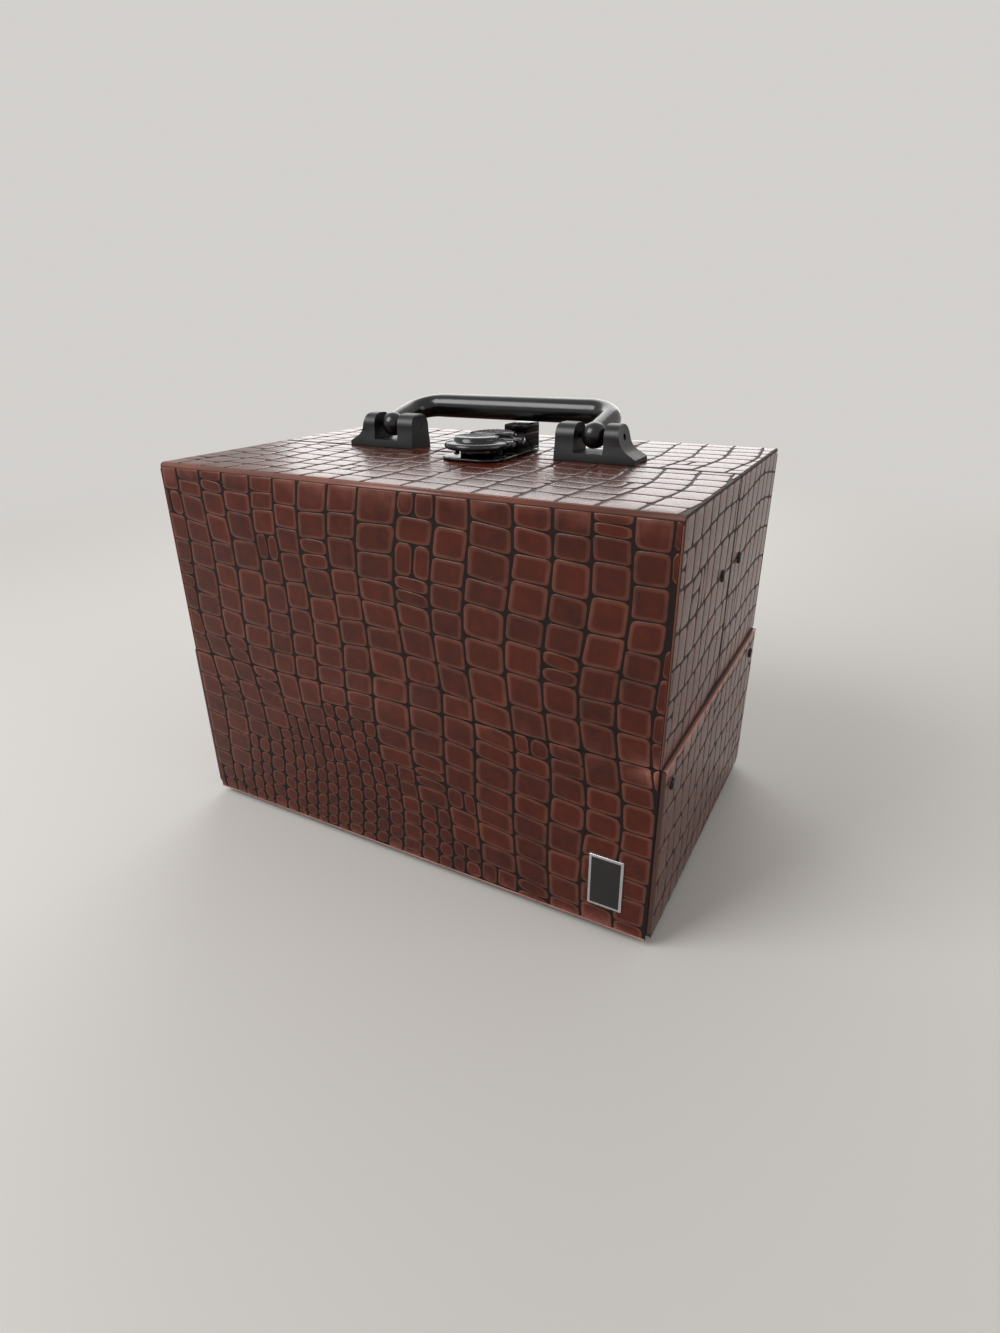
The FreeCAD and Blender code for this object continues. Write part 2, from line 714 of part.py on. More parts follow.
def handle():
    """Bail with ball hubs, bent arms and a fuller grip, lying back on the latch."""
    half = "(hub_spacing / 2)"
    body = new_body("handle")
    spine = new_sketch(body, "XY_Plane")
    h = size(half)
    reach = size("handle_reach")
    bend = size("bail_bend")
    up = Vector(0, 0, 1)
    right_bend = Part.Circle(Vector(h - bend, reach - bend, 0), up, bend)
    left_bend = Part.Circle(Vector(bend - h, reach - bend, 0), up, bend)
    runs = [
        Part.LineSegment(Vector(h, 0, 0), Vector(h, reach - bend, 0)),
        Part.ArcOfCircle(right_bend, 0, math.pi / 2),
        Part.LineSegment(Vector(h - bend, reach, 0), Vector(bend - h, reach, 0)),
        Part.ArcOfCircle(left_bend, math.pi / 2, math.pi),
        Part.LineSegment(Vector(-h, reach - bend, 0), Vector(-h, 0, 0)),
    ]
    for run in runs:
        spine.addGeometry(run, False)
    spine.addConstraint(Sketcher.Constraint("Tangent", 0, 2, 1, 1))
    spine.addConstraint(Sketcher.Constraint("Tangent", 1, 2, 2, 1))
    spine.addConstraint(Sketcher.Constraint("Tangent", 2, 2, 3, 1))
    spine.addConstraint(Sketcher.Constraint("Tangent", 3, 2, 4, 1))
    fix(spine, "DistanceX", 0, 1, half, "right_u")
    fix(spine, "DistanceY", 0, 1, "0", "right_v")
    fix(spine, "DistanceX", 0, 2, half, "right_run")
    fix(spine, "DistanceX", 4, 2, f"-{half}", "left_u")
    fix(spine, "DistanceY", 4, 2, "0", "left_v")
    fix(spine, "DistanceY", 2, 1, "handle_reach", "grip_right")
    fix(spine, "DistanceY", 2, 2, "handle_reach", "grip_left")
    fix_radius(spine, 1, "bail_bend", "bend_right")
    fix_radius(spine, 3, "bail_bend", "bend_left")
    section = new_sketch(body, "XZ_Plane")
    circle(section, half, "0", "bail_arm_radius")
    doc.recompute()
    pipe = body.newObject("PartDesign::AdditivePipe", "bail_pipe")
    pipe.Profile = section
    pipe.Spine = (spine, [f"Edge{i}" for i in range(1, 6)])
    doc.recompute()
    grip = new_sketch(body, "XY_Plane")
    middle = "handle_reach"
    outline = [
        ("-grip_length / 2", middle),
        ("grip_length / 2", middle),
        ("grip_length / 2", f"{middle} + bail_arm_radius"),
        ("grip_length / 2 - 2 * grip_radius", f"{middle} + grip_radius"),
        ("-(grip_length / 2 - 2 * grip_radius)", f"{middle} + grip_radius"),
        ("-grip_length / 2", f"{middle} + bail_arm_radius"),
    ]
    polygon(grip, outline)
    turned = body.newObject("PartDesign::Revolution", "grip_turned")
    turned.Profile = grip
    turned.ReferenceAxis = (grip, ["Edge1"])
    turned.Angle = 360.0
    doc.recompute()
    for way in ("", "-"):
        hub = body.newObject("PartDesign::AdditiveSphere", "hub")
        bind(hub, "Radius", "hub_radius")
        bind(hub, "AttachmentOffset.Base.x", f"{way}{half}")
        plane = next(f for f in body.Origin.OriginFeatures if f.Role == "XY_Plane")
        hub.AttachmentSupport = [(plane, "")]
        hub.MapMode = "FlatFace"
        doc.recompute()
    bore = new_sketch(body, "YZ_Plane")
    circle(bore, "0", "0", SHAFT_HOLE)
    pocket(body, bore, "2 * case_width", both=True)
    body.Placement = Placement(Vector(0, 0, 0), Rotation(Vector(1, 0, 0), size("handle_lean")))
    bind(body, "Placement.Base.y", "handle_back")
    bind(body, "Placement.Base.z", PIVOT_Z)
    bind(body, "Placement.Rotation.Angle", "handle_lean")
    doc.recompute()
    keep("handle", body)


SLOT_INNER = "(hub_spacing / 2 - hub_radius - slot_side_play)"
SLOT_OUTER = "(hub_spacing / 2 + hub_radius + slot_side_play)"
EAR_INNER = f"({SLOT_INNER} - inner_ear)"
EAR_OUTER = f"({SLOT_OUTER} + outer_ear)"
BRACKET_INNER = f"({EAR_INNER} - heel_reach)"
BRACKET_OUTER = f"({EAR_OUTER} + toe_reach)"


def handle_brackets():
    """Forked brackets with a concave flank to a long toe, tapered round the pin."""
    front = new_body("bracket_front")
    sketch = new_sketch(front, "XZ_Plane")
    ear_top = f"({TOP} + ear_top)"
    floor = f"({TOP} + slot_floor)"
    toe = f"({TOP} + bracket_toe)"
    flank_x = f"({EAR_OUTER} + toe_reach * 0.22)"
    flank_z = f"({TOP} + bracket_toe + (ear_top - bracket_toe) * 0.30)"
    outline = [
        (BRACKET_INNER, TOP),
        (BRACKET_OUTER, TOP),
        (BRACKET_OUTER, toe),
        (flank_x, flank_z),
        (EAR_OUTER, ear_top),
        (SLOT_OUTER, ear_top),
        (SLOT_OUTER, floor),
        (SLOT_INNER, floor),
        (SLOT_INNER, ear_top),
        (EAR_INNER, ear_top),
    ]
    polygon(sketch, outline)
    pad(front, sketch, "2 * (handle_back + bracket_depth)", both=True)
    bend = edges_at(front.Shape, x=flank_x, z=flank_z)
    round_edges(front, "toe_reach * 0.9", bend)
    for corner in (EAR_OUTER, EAR_INNER):
        round_edges(front, "ear_corner", edges_at(front.Shape, x=corner, z=ear_top))
    side = new_body("bracket_side")
    sketch = new_sketch(side, "YZ_Plane")
    foot = "(bracket_depth / 2)"
    outline = [
        (f"handle_back - {foot}", TOP),
        (f"handle_back + {foot}", TOP),
        (f"handle_back + {foot}", toe),
        ("handle_back + ear_round", f"{TOP} + handle_rise - ear_round / 2"),
        ("handle_back + ear_round", ear_top),
        ("handle_back - ear_round", ear_top),
        ("handle_back - ear_round", f"{TOP} + handle_rise - ear_round / 2"),
        (f"handle_back - {foot}", toe),
    ]
    polygon(sketch, outline)
    pad(side, sketch, f"2 * {BRACKET_OUTER}", both=True)
    for way in ("-", "+"):
        corner = edges_at(side.Shape, y=f"handle_back {way} ear_round", z=ear_top)
        round_edges(side, "ear_round * 0.8", corner)
    blank = doc.addObject("Part::Common", "bracket_blank")
    blank.Base = front
    blank.Tool = side
    pin = doc.addObject("Part::Cylinder", "bracket_bore")
    pin.Placement = Placement(Vector(0, 0, 0), Rotation(Vector(0, 1, 0), 90))
    bind(pin, "Radius", "pin_radius")
    bind(pin, "Height", "case_width")
    bind(pin, "Placement.Base.y", "handle_back")
    bind(pin, "Placement.Base.z", PIVOT_Z)
    bracket = doc.addObject("Part::Cut", "bracket")
    bracket.Base = blank
    bracket.Tool = pin
    doc.recompute()
    pair_x("handle_bracket", bracket)


def handle_pins():
    """Pins through the ears and the hubs, flush with the inner ears."""
    pin = doc.addObject("Part::Cylinder", "handle_pin")
    pin.Placement = Placement(Vector(0, 0, 0), Rotation(Vector(0, 1, 0), 90))
    bind(pin, "Radius", "pin_radius")
    bind(pin, "Height", f"{EAR_OUTER} - {EAR_INNER}")
    bind(pin, "Placement.Base.x", EAR_INNER)
    bind(pin, "Placement.Base.y", "handle_back")
    bind(pin, "Placement.Base.z", PIVOT_Z)
    doc.recompute()
    grouped("handle_pins", [pin, mirrored(pin, "x")])


# Latch.

LEVER_PIVOT = ("(-lever_pivot_back)", f"({TOP} + lever_pivot_rise)")


def latch_plate():
    """Plate on the front lid with a pedestal under the lever and two hinge lugs."""
    body = new_body("latch_plate")
    outline = new_sketch(body, "XY_Plane", TOP)
    low = ("-latch_half_width", "-latch_front")
    rectangle(outline, low, ("latch_half_width", "-latch_split"))
    pad(body, outline, "latch_plate_thickness")
    for way in ("", "-"):
        corner = edges_at(body.Shape, x=f"{way}latch_half_width", y="-latch_front")
        round_edges(body, "latch_plate_round", corner)
    stand = new_sketch(body, "XY_Plane", TOP)
    tip = "-(latch_front - crown_inset)"
    root = f"{LEVER_PIVOT[0]} - lever_roll - lever_clear"
    tongue(stand, "pedestal_half_width", tip, root, 1)
    pad(body, stand, "rim_bottom - lever_clear")
    for low, high in (("lug_inner", "lug_outer"), ("-lug_outer", "-lug_inner")):
        lug = new_sketch(body, "YZ_Plane", low)
        start = (LEVER_PIVOT[0], f"{TOP} + lug_round")
        slot(lug, start, LEVER_PIVOT, "lug_round")
        pad(body, lug, f"{high} - ({low})")
    bore = new_sketch(body, "YZ_Plane")
    circle(bore, *LEVER_PIVOT, "latch_pin_radius")
    pocket(body, bore, "4 * latch_half_width", both=True)
    bind(body, "Placement.Base.x", "latch_offset")
    doc.recompute()
    keep("latch_plate", body)


def latch_lever():
    """Two tier paddle whose rear end is rolled about its pin, slotted for the lugs."""
    body = new_body("latch_lever")
    root = "-latch_split"
    rim = new_sketch(body, "XY_Plane", f"{TOP} + rim_bottom")
    tongue(rim, "latch_half_width", "-lever_reach", root, 1)
    pad(body, rim, "rim_top - rim_bottom")
    edge = edges_at(body.Shape, x="0", z=f"{TOP} + rim_top", y="-lever_reach + latch_half_width / 2")
    round_edges(body, "rim_round", edge)
    crown = new_sketch(body, "XY_Plane", f"{TOP} + rim_bottom")
    tongue(crown, "latch_half_width - crown_inset", "-(lever_reach - crown_inset)", root, 1)
    pad(body, crown, "lever_pivot_rise + lever_roll - rim_bottom")
    top_edge = f"{TOP} + lever_pivot_rise + lever_roll"
    middle = "-(lever_reach - crown_inset) + (latch_half_width - crown_inset) / 2"
    round_edges(body, "crown_round", edges_at(body.Shape, x="0", y=middle, z=top_edge))
    roll = new_sketch(body, "YZ_Plane")
    rear = f"({LEVER_PIVOT[0]} + 2 * lever_roll)"
    high = f"({LEVER_PIVOT[1]} + 2 * lever_roll)"
    low = f"({LEVER_PIVOT[1]} - 2 * lever_roll)"
    rectangle(roll, (LEVER_PIVOT[0], low), (rear, high))
    circle(roll, *LEVER_PIVOT, "lever_roll")
    roll.delGeometries([4])
    doc.recompute()
    keep_round = new_body("lever_roll")
    bar = new_sketch(keep_round, "YZ_Plane")
    circle(bar, *LEVER_PIVOT, "lever_roll")
    pad(keep_round, bar, "2 * latch_half_width", both=True)
    pocket(body, roll, "4 * latch_half_width", both=True)
    joined = doc.addObject("Part::Fuse", "lever_blank")
    joined.Base = body
    joined.Tool = keep_round
    doc.recompute()
    cutters = []
    for low_x in ("lug_inner", "-lug_outer"):
        notch = doc.addObject("Part::Box", "lever_notch")
        bind(notch, "Length", "lug_outer - lug_inner + 2 * lever_clear")
        bind(notch, "Width", "2 * lever_roll + 2 * lever_clear")
        bind(notch, "Height", "lever_pivot_rise + lug_round + lever_clear")
        bind(notch, "Placement.Base.x", f"{low_x} - lever_clear")
        bind(notch, "Placement.Base.y", f"{LEVER_PIVOT[0]} - lever_roll - lever_clear")
        bind(notch, "Placement.Base.z", TOP)
        cutters.append(notch)
    bore = doc.addObject("Part::Cylinder", "lever_bore")
    bore.Placement = Placement(Vector(0, 0, 0), Rotation(Vector(0, 1, 0), 90))
    bind(bore, "Radius", "latch_pin_radius + running_fit")
    bind(bore, "Height", "4 * latch_half_width")
    bind(bore, "Placement.Base.x", "-2 * latch_half_width")
    bind(bore, "Placement.Base.y", LEVER_PIVOT[0])
    bind(bore, "Placement.Base.z", LEVER_PIVOT[1])
    cutters.append(bore)
    tools = doc.addObject("Part::Compound", "lever_cutters")
    tools.Links = cutters
    lever = doc.addObject("Part::Cut", "lever")
    lever.Base = joined
    lever.Tool = tools
    bind(lever, "Placement.Base.x", "latch_offset")
    doc.recompute()
    keep("latch_lever", lever)


def latch_pin():
    """Pin of the lever, held in the plate's lugs."""
    pin = doc.addObject("Part::Cylinder", "latch_pin")
    pin.Placement = Placement(Vector(0, 0, 0), Rotation(Vector(0, 1, 0), 90))
    bind(pin, "Radius", "latch_pin_radius")
    bind(pin, "Height", "2 * pedestal_half_width")
    bind(pin, "Placement.Base.x", "latch_offset - pedestal_half_width")
    bind(pin, "Placement.Base.y", LEVER_PIVOT[0])
    bind(pin, "Placement.Base.z", LEVER_PIVOT[1])
    doc.recompute()
    keep("latch_pin", pin)


def latch_catch():
    """Catch on the rear lid: the paddle's other half and the block under the grip."""
    body = new_body("latch_catch")
    outline = new_sketch(body, "XY_Plane", TOP)
    rectangle(outline, ("-latch_half_width", "latch_split"), ("latch_half_width", "latch_rear"))
    pad(body, outline, "latch_plate_thickness")
    for way in ("", "-"):
        corner = edges_at(body.Shape, x=f"{way}latch_half_width", y="latch_rear")
        round_edges(body, "latch_plate_round", corner)
    stand = new_sketch(body, "XY_Plane", TOP)
    tongue(stand, "pedestal_half_width", "catch_reach - crown_inset", "latch_split", -1)
    pad(body, stand, "rim_bottom")
    rim = new_sketch(body, "XY_Plane", f"{TOP} + rim_bottom")
    tongue(rim, "latch_half_width", "catch_reach", "latch_split", -1)
    pad(body, rim, "rim_top - rim_bottom")
    edge = edges_at(body.Shape, x="0", y="catch_reach - latch_half_width / 2", z=f"{TOP} + rim_top")
    round_edges(body, "rim_round", edge)
    crown = new_sketch(body, "XY_Plane", f"{TOP} + rim_bottom")
    tongue(crown, "latch_half_width - crown_inset", "catch_reach - crown_inset", "latch_split", -1)
    pad(body, crown, "lever_pivot_rise + lever_roll - rim_bottom")
    rest = "(handle_rise + handle_reach * sin(handle_lean) - grip_radius - rest_gap)"
    block = new_sketch(body, "YZ_Plane")
    start = "(catch_reach / 2)"
    level = f"({TOP} + {rest})"
    crown_top = f"({TOP} + lever_pivot_rise + lever_roll)"
    outline = [
        (start, TOP),
        ("block_rear", TOP),
        ("block_rear", level),
        ("block_front", level),
        (start, f"{crown_top} - crown_round"),
    ]
    polygon(block, outline)
    pad(body, block, "2 * block_half_width", both=True)
    round_edges(body, "crown_round", edges_at(body.Shape, x="0", y="block_rear", z=level))
    bind(body, "Placement.Base.x", "latch_offset")
    doc.recompute()
    keep("latch_catch", body)


base_floor()
base_wall()
base_ends()
base_covers()
feet()
base_arm_rivets()
lid_tray_rivets()
tray_arm_rivets()
lid_boards()
lid_covers()
arms()
trays()
handle()
handle_brackets()
handle_pins()
latch_plate()
latch_lever()
latch_pin()
latch_catch()

doc.recompute()
faults = [o.Name for o in doc.Objects if "Invalid" in o.State or "Error" in o.State]
if faults:
    raise RuntimeError(f"failed objects: {faults}")
for label, thing in NODES.items():
    if thing.Shape.isNull() or not thing.Shape.isValid() or not thing.Shape.Solids:
        raise RuntimeError(f"bad shape: {label}")

os.makedirs("parts", exist_ok=True)
for label, thing in NODES.items():
    thing.Shape.exportStep(f"parts/{label}.step")
print(len(NODES), "sub-parts")
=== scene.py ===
import json
import logging
import math
from dataclasses import dataclass, field
from enum import Enum
from typing import Callable, Iterable, Sequence

import bmesh
import bpy
import numpy as np
from mathutils import Matrix, Vector


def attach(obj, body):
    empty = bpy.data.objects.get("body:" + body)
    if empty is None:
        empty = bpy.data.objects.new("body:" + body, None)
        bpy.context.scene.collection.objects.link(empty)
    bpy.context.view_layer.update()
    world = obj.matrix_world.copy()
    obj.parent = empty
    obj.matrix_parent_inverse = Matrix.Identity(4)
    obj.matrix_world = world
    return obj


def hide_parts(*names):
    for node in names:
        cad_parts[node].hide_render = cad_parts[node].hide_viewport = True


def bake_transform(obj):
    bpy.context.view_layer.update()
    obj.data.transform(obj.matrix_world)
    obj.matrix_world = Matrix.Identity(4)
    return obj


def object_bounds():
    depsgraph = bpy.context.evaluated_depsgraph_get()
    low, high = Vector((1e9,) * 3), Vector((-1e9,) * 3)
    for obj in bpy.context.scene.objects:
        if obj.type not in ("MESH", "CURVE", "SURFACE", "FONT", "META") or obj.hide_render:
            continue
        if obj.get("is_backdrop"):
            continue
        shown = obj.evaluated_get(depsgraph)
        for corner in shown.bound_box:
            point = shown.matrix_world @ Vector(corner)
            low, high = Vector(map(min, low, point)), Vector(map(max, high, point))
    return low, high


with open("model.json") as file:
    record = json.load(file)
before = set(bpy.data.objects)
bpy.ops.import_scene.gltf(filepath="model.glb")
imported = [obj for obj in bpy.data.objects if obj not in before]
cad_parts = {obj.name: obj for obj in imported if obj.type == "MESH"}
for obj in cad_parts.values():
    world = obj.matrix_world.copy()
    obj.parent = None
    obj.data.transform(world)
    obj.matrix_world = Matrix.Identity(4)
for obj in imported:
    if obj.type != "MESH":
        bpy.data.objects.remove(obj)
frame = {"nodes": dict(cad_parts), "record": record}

LOG = logging.getLogger("train_case")
CAD_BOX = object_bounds()
MM = 0.001

Point2 = tuple[float, float]
Point3 = tuple[float, float, float]


class Side(Enum):
    """Half of the case, by the sign of its Y."""

    FRONT = -1
    REAR = 1


class Ring(Enum):
    """Rings of one embossed scale, foot to crown: size, share of the rise, level of colour; the shoulder and
    slope levels pick the painted highlight colour of the rims.
    """

    SHOULDER = (0.975, 0.58, 0.40)
    SLOPE = (0.90, 0.30, 0.70)
    CROWN = (0.80, 0.12, 1.00)


def linear(code: str) -> tuple[float, float, float, float]:
    """Turn an sRGB hex colour into linear RGBA.

    Args:
        code: Six hex digits with a leading #.

    Returns:
        Linear red, green, blue and an alpha of one.
    """
    parts = [int(code[i:i + 2], 16) / 255.0 for i in (1, 3, 5)]
    bent = [p / 12.92 if p <= 0.04045 else ((p + 0.055) / 1.055) ** 2.4 for p in parts]
    return (bent[0], bent[1], bent[2], 1.0)


def add_node(tree: bpy.types.NodeTree, kind: str, settings: dict | None = None,
             inputs: dict | None = None, stops: Sequence[tuple] = ()) -> bpy.types.Node:
    """Add a node, set its properties and fill or link its inputs.

    Args:
        tree: Tree that gets the node.
        kind: Node type.
        settings: Properties of the node.
        inputs: Values or output sockets, by input name or index.
        stops: Place and colour of each stop of the node's colour bar.

    Returns:
        The new node.
    """
    made = tree.nodes.new(kind)
    for name, value in (settings or {}).items():
        setattr(made, name, value)
    for name, value in (inputs or {}).items():
        socket = made.inputs[name]
        if isinstance(value, bpy.types.NodeSocket):
            tree.links.new(value, socket)
        else:
            socket.default_value = value
    for _ in range(len(stops) - 2):
        made.color_ramp.elements.new(0.5)
    for k, (place, colour) in enumerate(stops):
        made.color_ramp.elements[k].position = place
        made.color_ramp.elements[k].color = colour
    return made


def fresh_material(name: str) -> tuple[bpy.types.Material, bpy.types.NodeTree, bpy.types.Node]:
    """Make an empty node material with its Principled shader.

    Args:
        name: Name of the material.

    Returns:
        The material, its tree and the shader node.
    """
    made = bpy.data.materials.new(name)
    made.use_nodes = True
    tree = made.node_tree
    shader = tree.nodes["Principled BSDF"]
    return made, tree, shader


@dataclass(frozen=True)
class EmbossedPvc:
    """Hot embossed PVC leathercloth: glossy brown scales with a painted highlight on their rims, dark
    grooves.
    """

    name: str = "embossed_pvc"
    groove: str = "#1c0e0a"
    flank: str = "#34190f"
    # painted highlight: the scales' rims drawn lighter, as where they catch the light
    rim_highlight: str = "#5f3427"
    crown: str = "#4a1708"
    # pale colour of rubbing, also used for painted highlights along the top front edge and base end tops
    wear_and_highlight: str = "#b5766a"
    wrinkle_mm: float = 1.6  # fine creases pressed into each scale
    wrinkle_depth_mm: float = 0.18
    shine: Point2 = (0.18, 0.30)  # roughness of the scales
    dull: float = 0.6  # roughness of the grooves
    lacquer: float = 0.06  # coat on the scales
    shade: Point2 = (0.6, 1.4)  # factors of the darkest and lightest ink
    mottle_mm: float = 6.0  # uneven ink from scale to scale

    def material(self) -> bpy.types.Material:
        """Build the shader from the attributes of the scales: ring, tone, and the share of rubbing and
        painted highlight.

        Returns:
            The material.
        """
        made, tree, shader = fresh_material(self.name)
        ring = add_node(tree, "ShaderNodeAttribute", {"attribute_name": "ring"})
        tone = add_node(tree, "ShaderNodeAttribute", {"attribute_name": "tone"})
        wear_and_highlight = add_node(tree, "ShaderNodeAttribute", {"attribute_name": "wear_and_highlight"})
        place = add_node(tree, "ShaderNodeTexCoord")
        mottle = add_node(tree, "ShaderNodeTexNoise", inputs={
            "Vector": place.outputs["Object"], "Scale": 1000.0 / self.mottle_mm, "Detail": 3.0})
        crease = add_node(tree, "ShaderNodeTexNoise", inputs={
            "Vector": place.outputs["Object"], "Scale": 1000.0 / self.wrinkle_mm, "Detail": 4.0,
            "Roughness": 0.6})
        # painted highlight: the shoulder and slope levels take the lighter colour of the scales' rims
        body = add_node(tree, "ShaderNodeValToRGB", inputs={"Fac": ring.outputs["Fac"]}, stops=[
            (0.02, linear(self.groove)), (0.24, linear(self.flank)),
            (0.42, linear(self.rim_highlight)), (0.74, linear(self.rim_highlight)), (1.0, linear(self.crown))])
        level = add_node(tree, "ShaderNodeMath", {"operation": "MULTIPLY_ADD"}, {
            0: tone.outputs["Fac"], 1: 0.3, 2: mottle.outputs["Fac"]})
        shade = add_node(tree, "ShaderNodeMapRange", inputs={
            "Value": level.outputs[0], "From Min": 0.3, "From Max": 1.0,
            "To Min": self.shade[0], "To Max": self.shade[1]})
        tinted = add_node(tree, "ShaderNodeVectorMath", {"operation": "SCALE"}, {
            0: body.outputs["Color"], "Scale": shade.outputs["Result"]})
        # pale patches: rubbing, and painted highlights along the top front edge and the base end tops
        pale_share = add_node(tree, "ShaderNodeMath", {"operation": "MULTIPLY", "use_clamp": True}, {
            0: wear_and_highlight.outputs["Fac"], 1: mottle.outputs["Fac"]})
        colour = add_node(tree, "ShaderNodeMix", {"data_type": "RGBA"}, {
            "Factor": pale_share.outputs[0], 6: tinted.outputs[0], 7: linear(self.wear_and_highlight)})
        gloss = add_node(tree, "ShaderNodeMapRange", inputs={
            "Value": crease.outputs["Fac"], "From Min": 0.3, "From Max": 0.7,
            "To Min": self.shine[0], "To Max": self.shine[1]})
        bump = add_node(tree, "ShaderNodeBump", inputs={
            "Height": crease.outputs["Fac"], "Strength": 0.3, "Distance": self.wrinkle_depth_mm * MM})
        polish = add_node(tree, "ShaderNodeMapRange", inputs={
            "Value": ring.outputs["Fac"], "From Min": 0.2, "From Max": 0.5})
        rough = add_node(tree, "ShaderNodeMix", {"data_type": "FLOAT"}, {
            0: polish.outputs["Result"], 2: self.dull, 3: gloss.outputs["Result"]})
        coat = add_node(tree, "ShaderNodeMath", {"operation": "MULTIPLY"}, {
            0: polish.outputs["Result"], 1: self.lacquer})
        tree.links.new(colour.outputs[2], shader.inputs["Base Color"])
        tree.links.new(rough.outputs[0], shader.inputs["Roughness"])
        tree.links.new(coat.outputs[0], shader.inputs["Coat Weight"])
        tree.links.new(bump.outputs["Normal"], shader.inputs["Normal"])
        shader.inputs["IOR"].default_value = 1.53
        shader.inputs["Specular IOR Level"].default_value = 0.22
        shader.inputs["Coat Roughness"].default_value = 0.16
        return made


@dataclass(frozen=True)
class MouldedPlastic:
    """Injection moulded plastic, polished or with a fine tool grain."""

    name: str
    colour: str
    roughness: float
    grain_mm: float
    grain_depth: float
    coat: float = 0.0
    haze_mm: float = 22.0  # slow drift of colour and gloss

    def material(self) -> bpy.types.Material:
        """Build a plastic with slight colour drift and grain.

        Returns:
            The material.
        """
        made, tree, shader = fresh_material(self.name)
        place = add_node(tree, "ShaderNodeTexCoord")
        grain = add_node(tree, "ShaderNodeTexNoise", inputs={
            "Vector": place.outputs["Object"], "Scale": 1000.0 / self.grain_mm, "Detail": 3.0})
        haze = add_node(tree, "ShaderNodeTexNoise", inputs={
            "Vector": place.outputs["Object"], "Scale": 1000.0 / self.haze_mm, "Detail": 4.0})
        dark = linear(self.colour)
        light = tuple(min(1.0, c * 1.7 + 0.002) for c in dark[:3]) + (1.0,)
        tint = add_node(tree, "ShaderNodeValToRGB", inputs={"Fac": haze.outputs["Fac"]},
                        stops=[(0.35, dark), (0.75, light)])
        gloss = add_node(tree, "ShaderNodeMapRange", inputs={
            "Value": haze.outputs["Fac"], "From Min": 0.3, "From Max": 0.7,
            "To Min": self.roughness * 0.8, "To Max": self.roughness * 1.35})
        bump = add_node(tree, "ShaderNodeBump", inputs={
            "Height": grain.outputs["Fac"], "Strength": 0.3, "Distance": self.grain_depth * MM})
        tree.links.new(tint.outputs["Color"], shader.inputs["Base Color"])
        tree.links.new(gloss.outputs["Result"], shader.inputs["Roughness"])
        tree.links.new(bump.outputs["Normal"], shader.inputs["Normal"])
        shader.inputs["IOR"].default_value = 1.5
        shader.inputs["Coat Weight"].default_value = self.coat
        shader.inputs["Coat Roughness"].default_value = 0.08
        return made


@dataclass(frozen=True)
class PaintedSteel:
    """Stamped steel with black enamel or bright plating, slightly brushed by use."""

    name: str
    colour: str
    metallic: float
    roughness: float
    scratch_mm: float = 1.1  # spacing across and length along, coarse enough to show
    along_mm: float = 8.0

    def material(self) -> bpy.types.Material:
        """Build a steel with fine scratches along its length.

        Returns:
            The material.
        """
        made, tree, shader = fresh_material(self.name)
        place = add_node(tree, "ShaderNodeTexCoord")
        turn = add_node(tree, "ShaderNodeMapping", inputs={
            "Vector": place.outputs["Object"],
            "Scale": (1000.0 / self.scratch_mm, 1000.0 / self.along_mm, 1000.0 / self.along_mm)})
        scratch = add_node(tree, "ShaderNodeTexNoise", inputs={
            "Vector": turn.outputs["Vector"], "Scale": 1.0, "Detail": 3.0})
        gloss = add_node(tree, "ShaderNodeMapRange", inputs={
            "Value": scratch.outputs["Fac"], "From Min": 0.3, "From Max": 0.7,
            "To Min": self.roughness * 0.75, "To Max": self.roughness * 1.3})
        base = linear(self.colour)
        light = tuple(min(1.0, c * 1.35) for c in base[:3]) + (1.0,)
        tint = add_node(tree, "ShaderNodeValToRGB", inputs={"Fac": scratch.outputs["Fac"]},
                        stops=[(0.4, base), (0.8, light)])
        tree.links.new(tint.outputs["Color"], shader.inputs["Base Color"])
        tree.links.new(gloss.outputs["Result"], shader.inputs["Roughness"])
        shader.inputs["Metallic"].default_value = self.metallic
        return made


@dataclass(frozen=True)
class FlockLining:
    """Hardboard lined with black flocked cloth: matt, with a soft nap."""

    name: str = "flock_lining"
    dark: str = "#141213"
    light: str = "#2a2627"
    nap_mm: float = 0.9  # true nap is finer; drawn coarse enough to show
    nap_depth_mm: float = 0.3

    def material(self) -> bpy.types.Material:
        """Build a matt cloth with sheen.

        Returns:
            The material.
        """
        made, tree, shader = fresh_material(self.name)
        place = add_node(tree, "ShaderNodeTexCoord")
        nap = add_node(tree, "ShaderNodeTexNoise", inputs={
            "Vector": place.outputs["Object"], "Scale": 1000.0 / self.nap_mm, "Detail": 2.0})
        tint = add_node(tree, "ShaderNodeValToRGB", inputs={"Fac": nap.outputs["Fac"]},
                        stops=[(0.3, linear(self.dark)), (0.7, linear(self.light))])
        bump = add_node(tree, "ShaderNodeBump", inputs={
            "Height": nap.outputs["Fac"], "Strength": 0.5, "Distance": self.nap_depth_mm * MM})
        tree.links.new(tint.outputs["Color"], shader.inputs["Base Color"])
        tree.links.new(bump.outputs["Normal"], shader.inputs["Normal"])
        shader.inputs["Roughness"].default_value = 0.92
        shader.inputs["Sheen Weight"].default_value = 0.25
        return made


# Leathercloth embossed under heat: sharp sheen on the scales, dull dark grooves.
PVC = EmbossedPvc()
# Polished ABS moulding: near black with hard, clear highlights.
GLOSS_BLACK = MouldedPlastic("polished_black_abs", "#0a0a0d", 0.21, 1.2, 0.02, 0.12)
# Moulding with a worn, satin skin: black with soft, low highlights.
SATIN_BLACK = MouldedPlastic("satin_black_abs", "#0d0d0f", 0.36, 1.0, 0.03)
# Vacuum formed styrene with a fine grain: soft, broad highlights.
TRAY_BLACK = MouldedPlastic("grained_black_styrene", "#161617", 0.42, 0.7, 0.06)
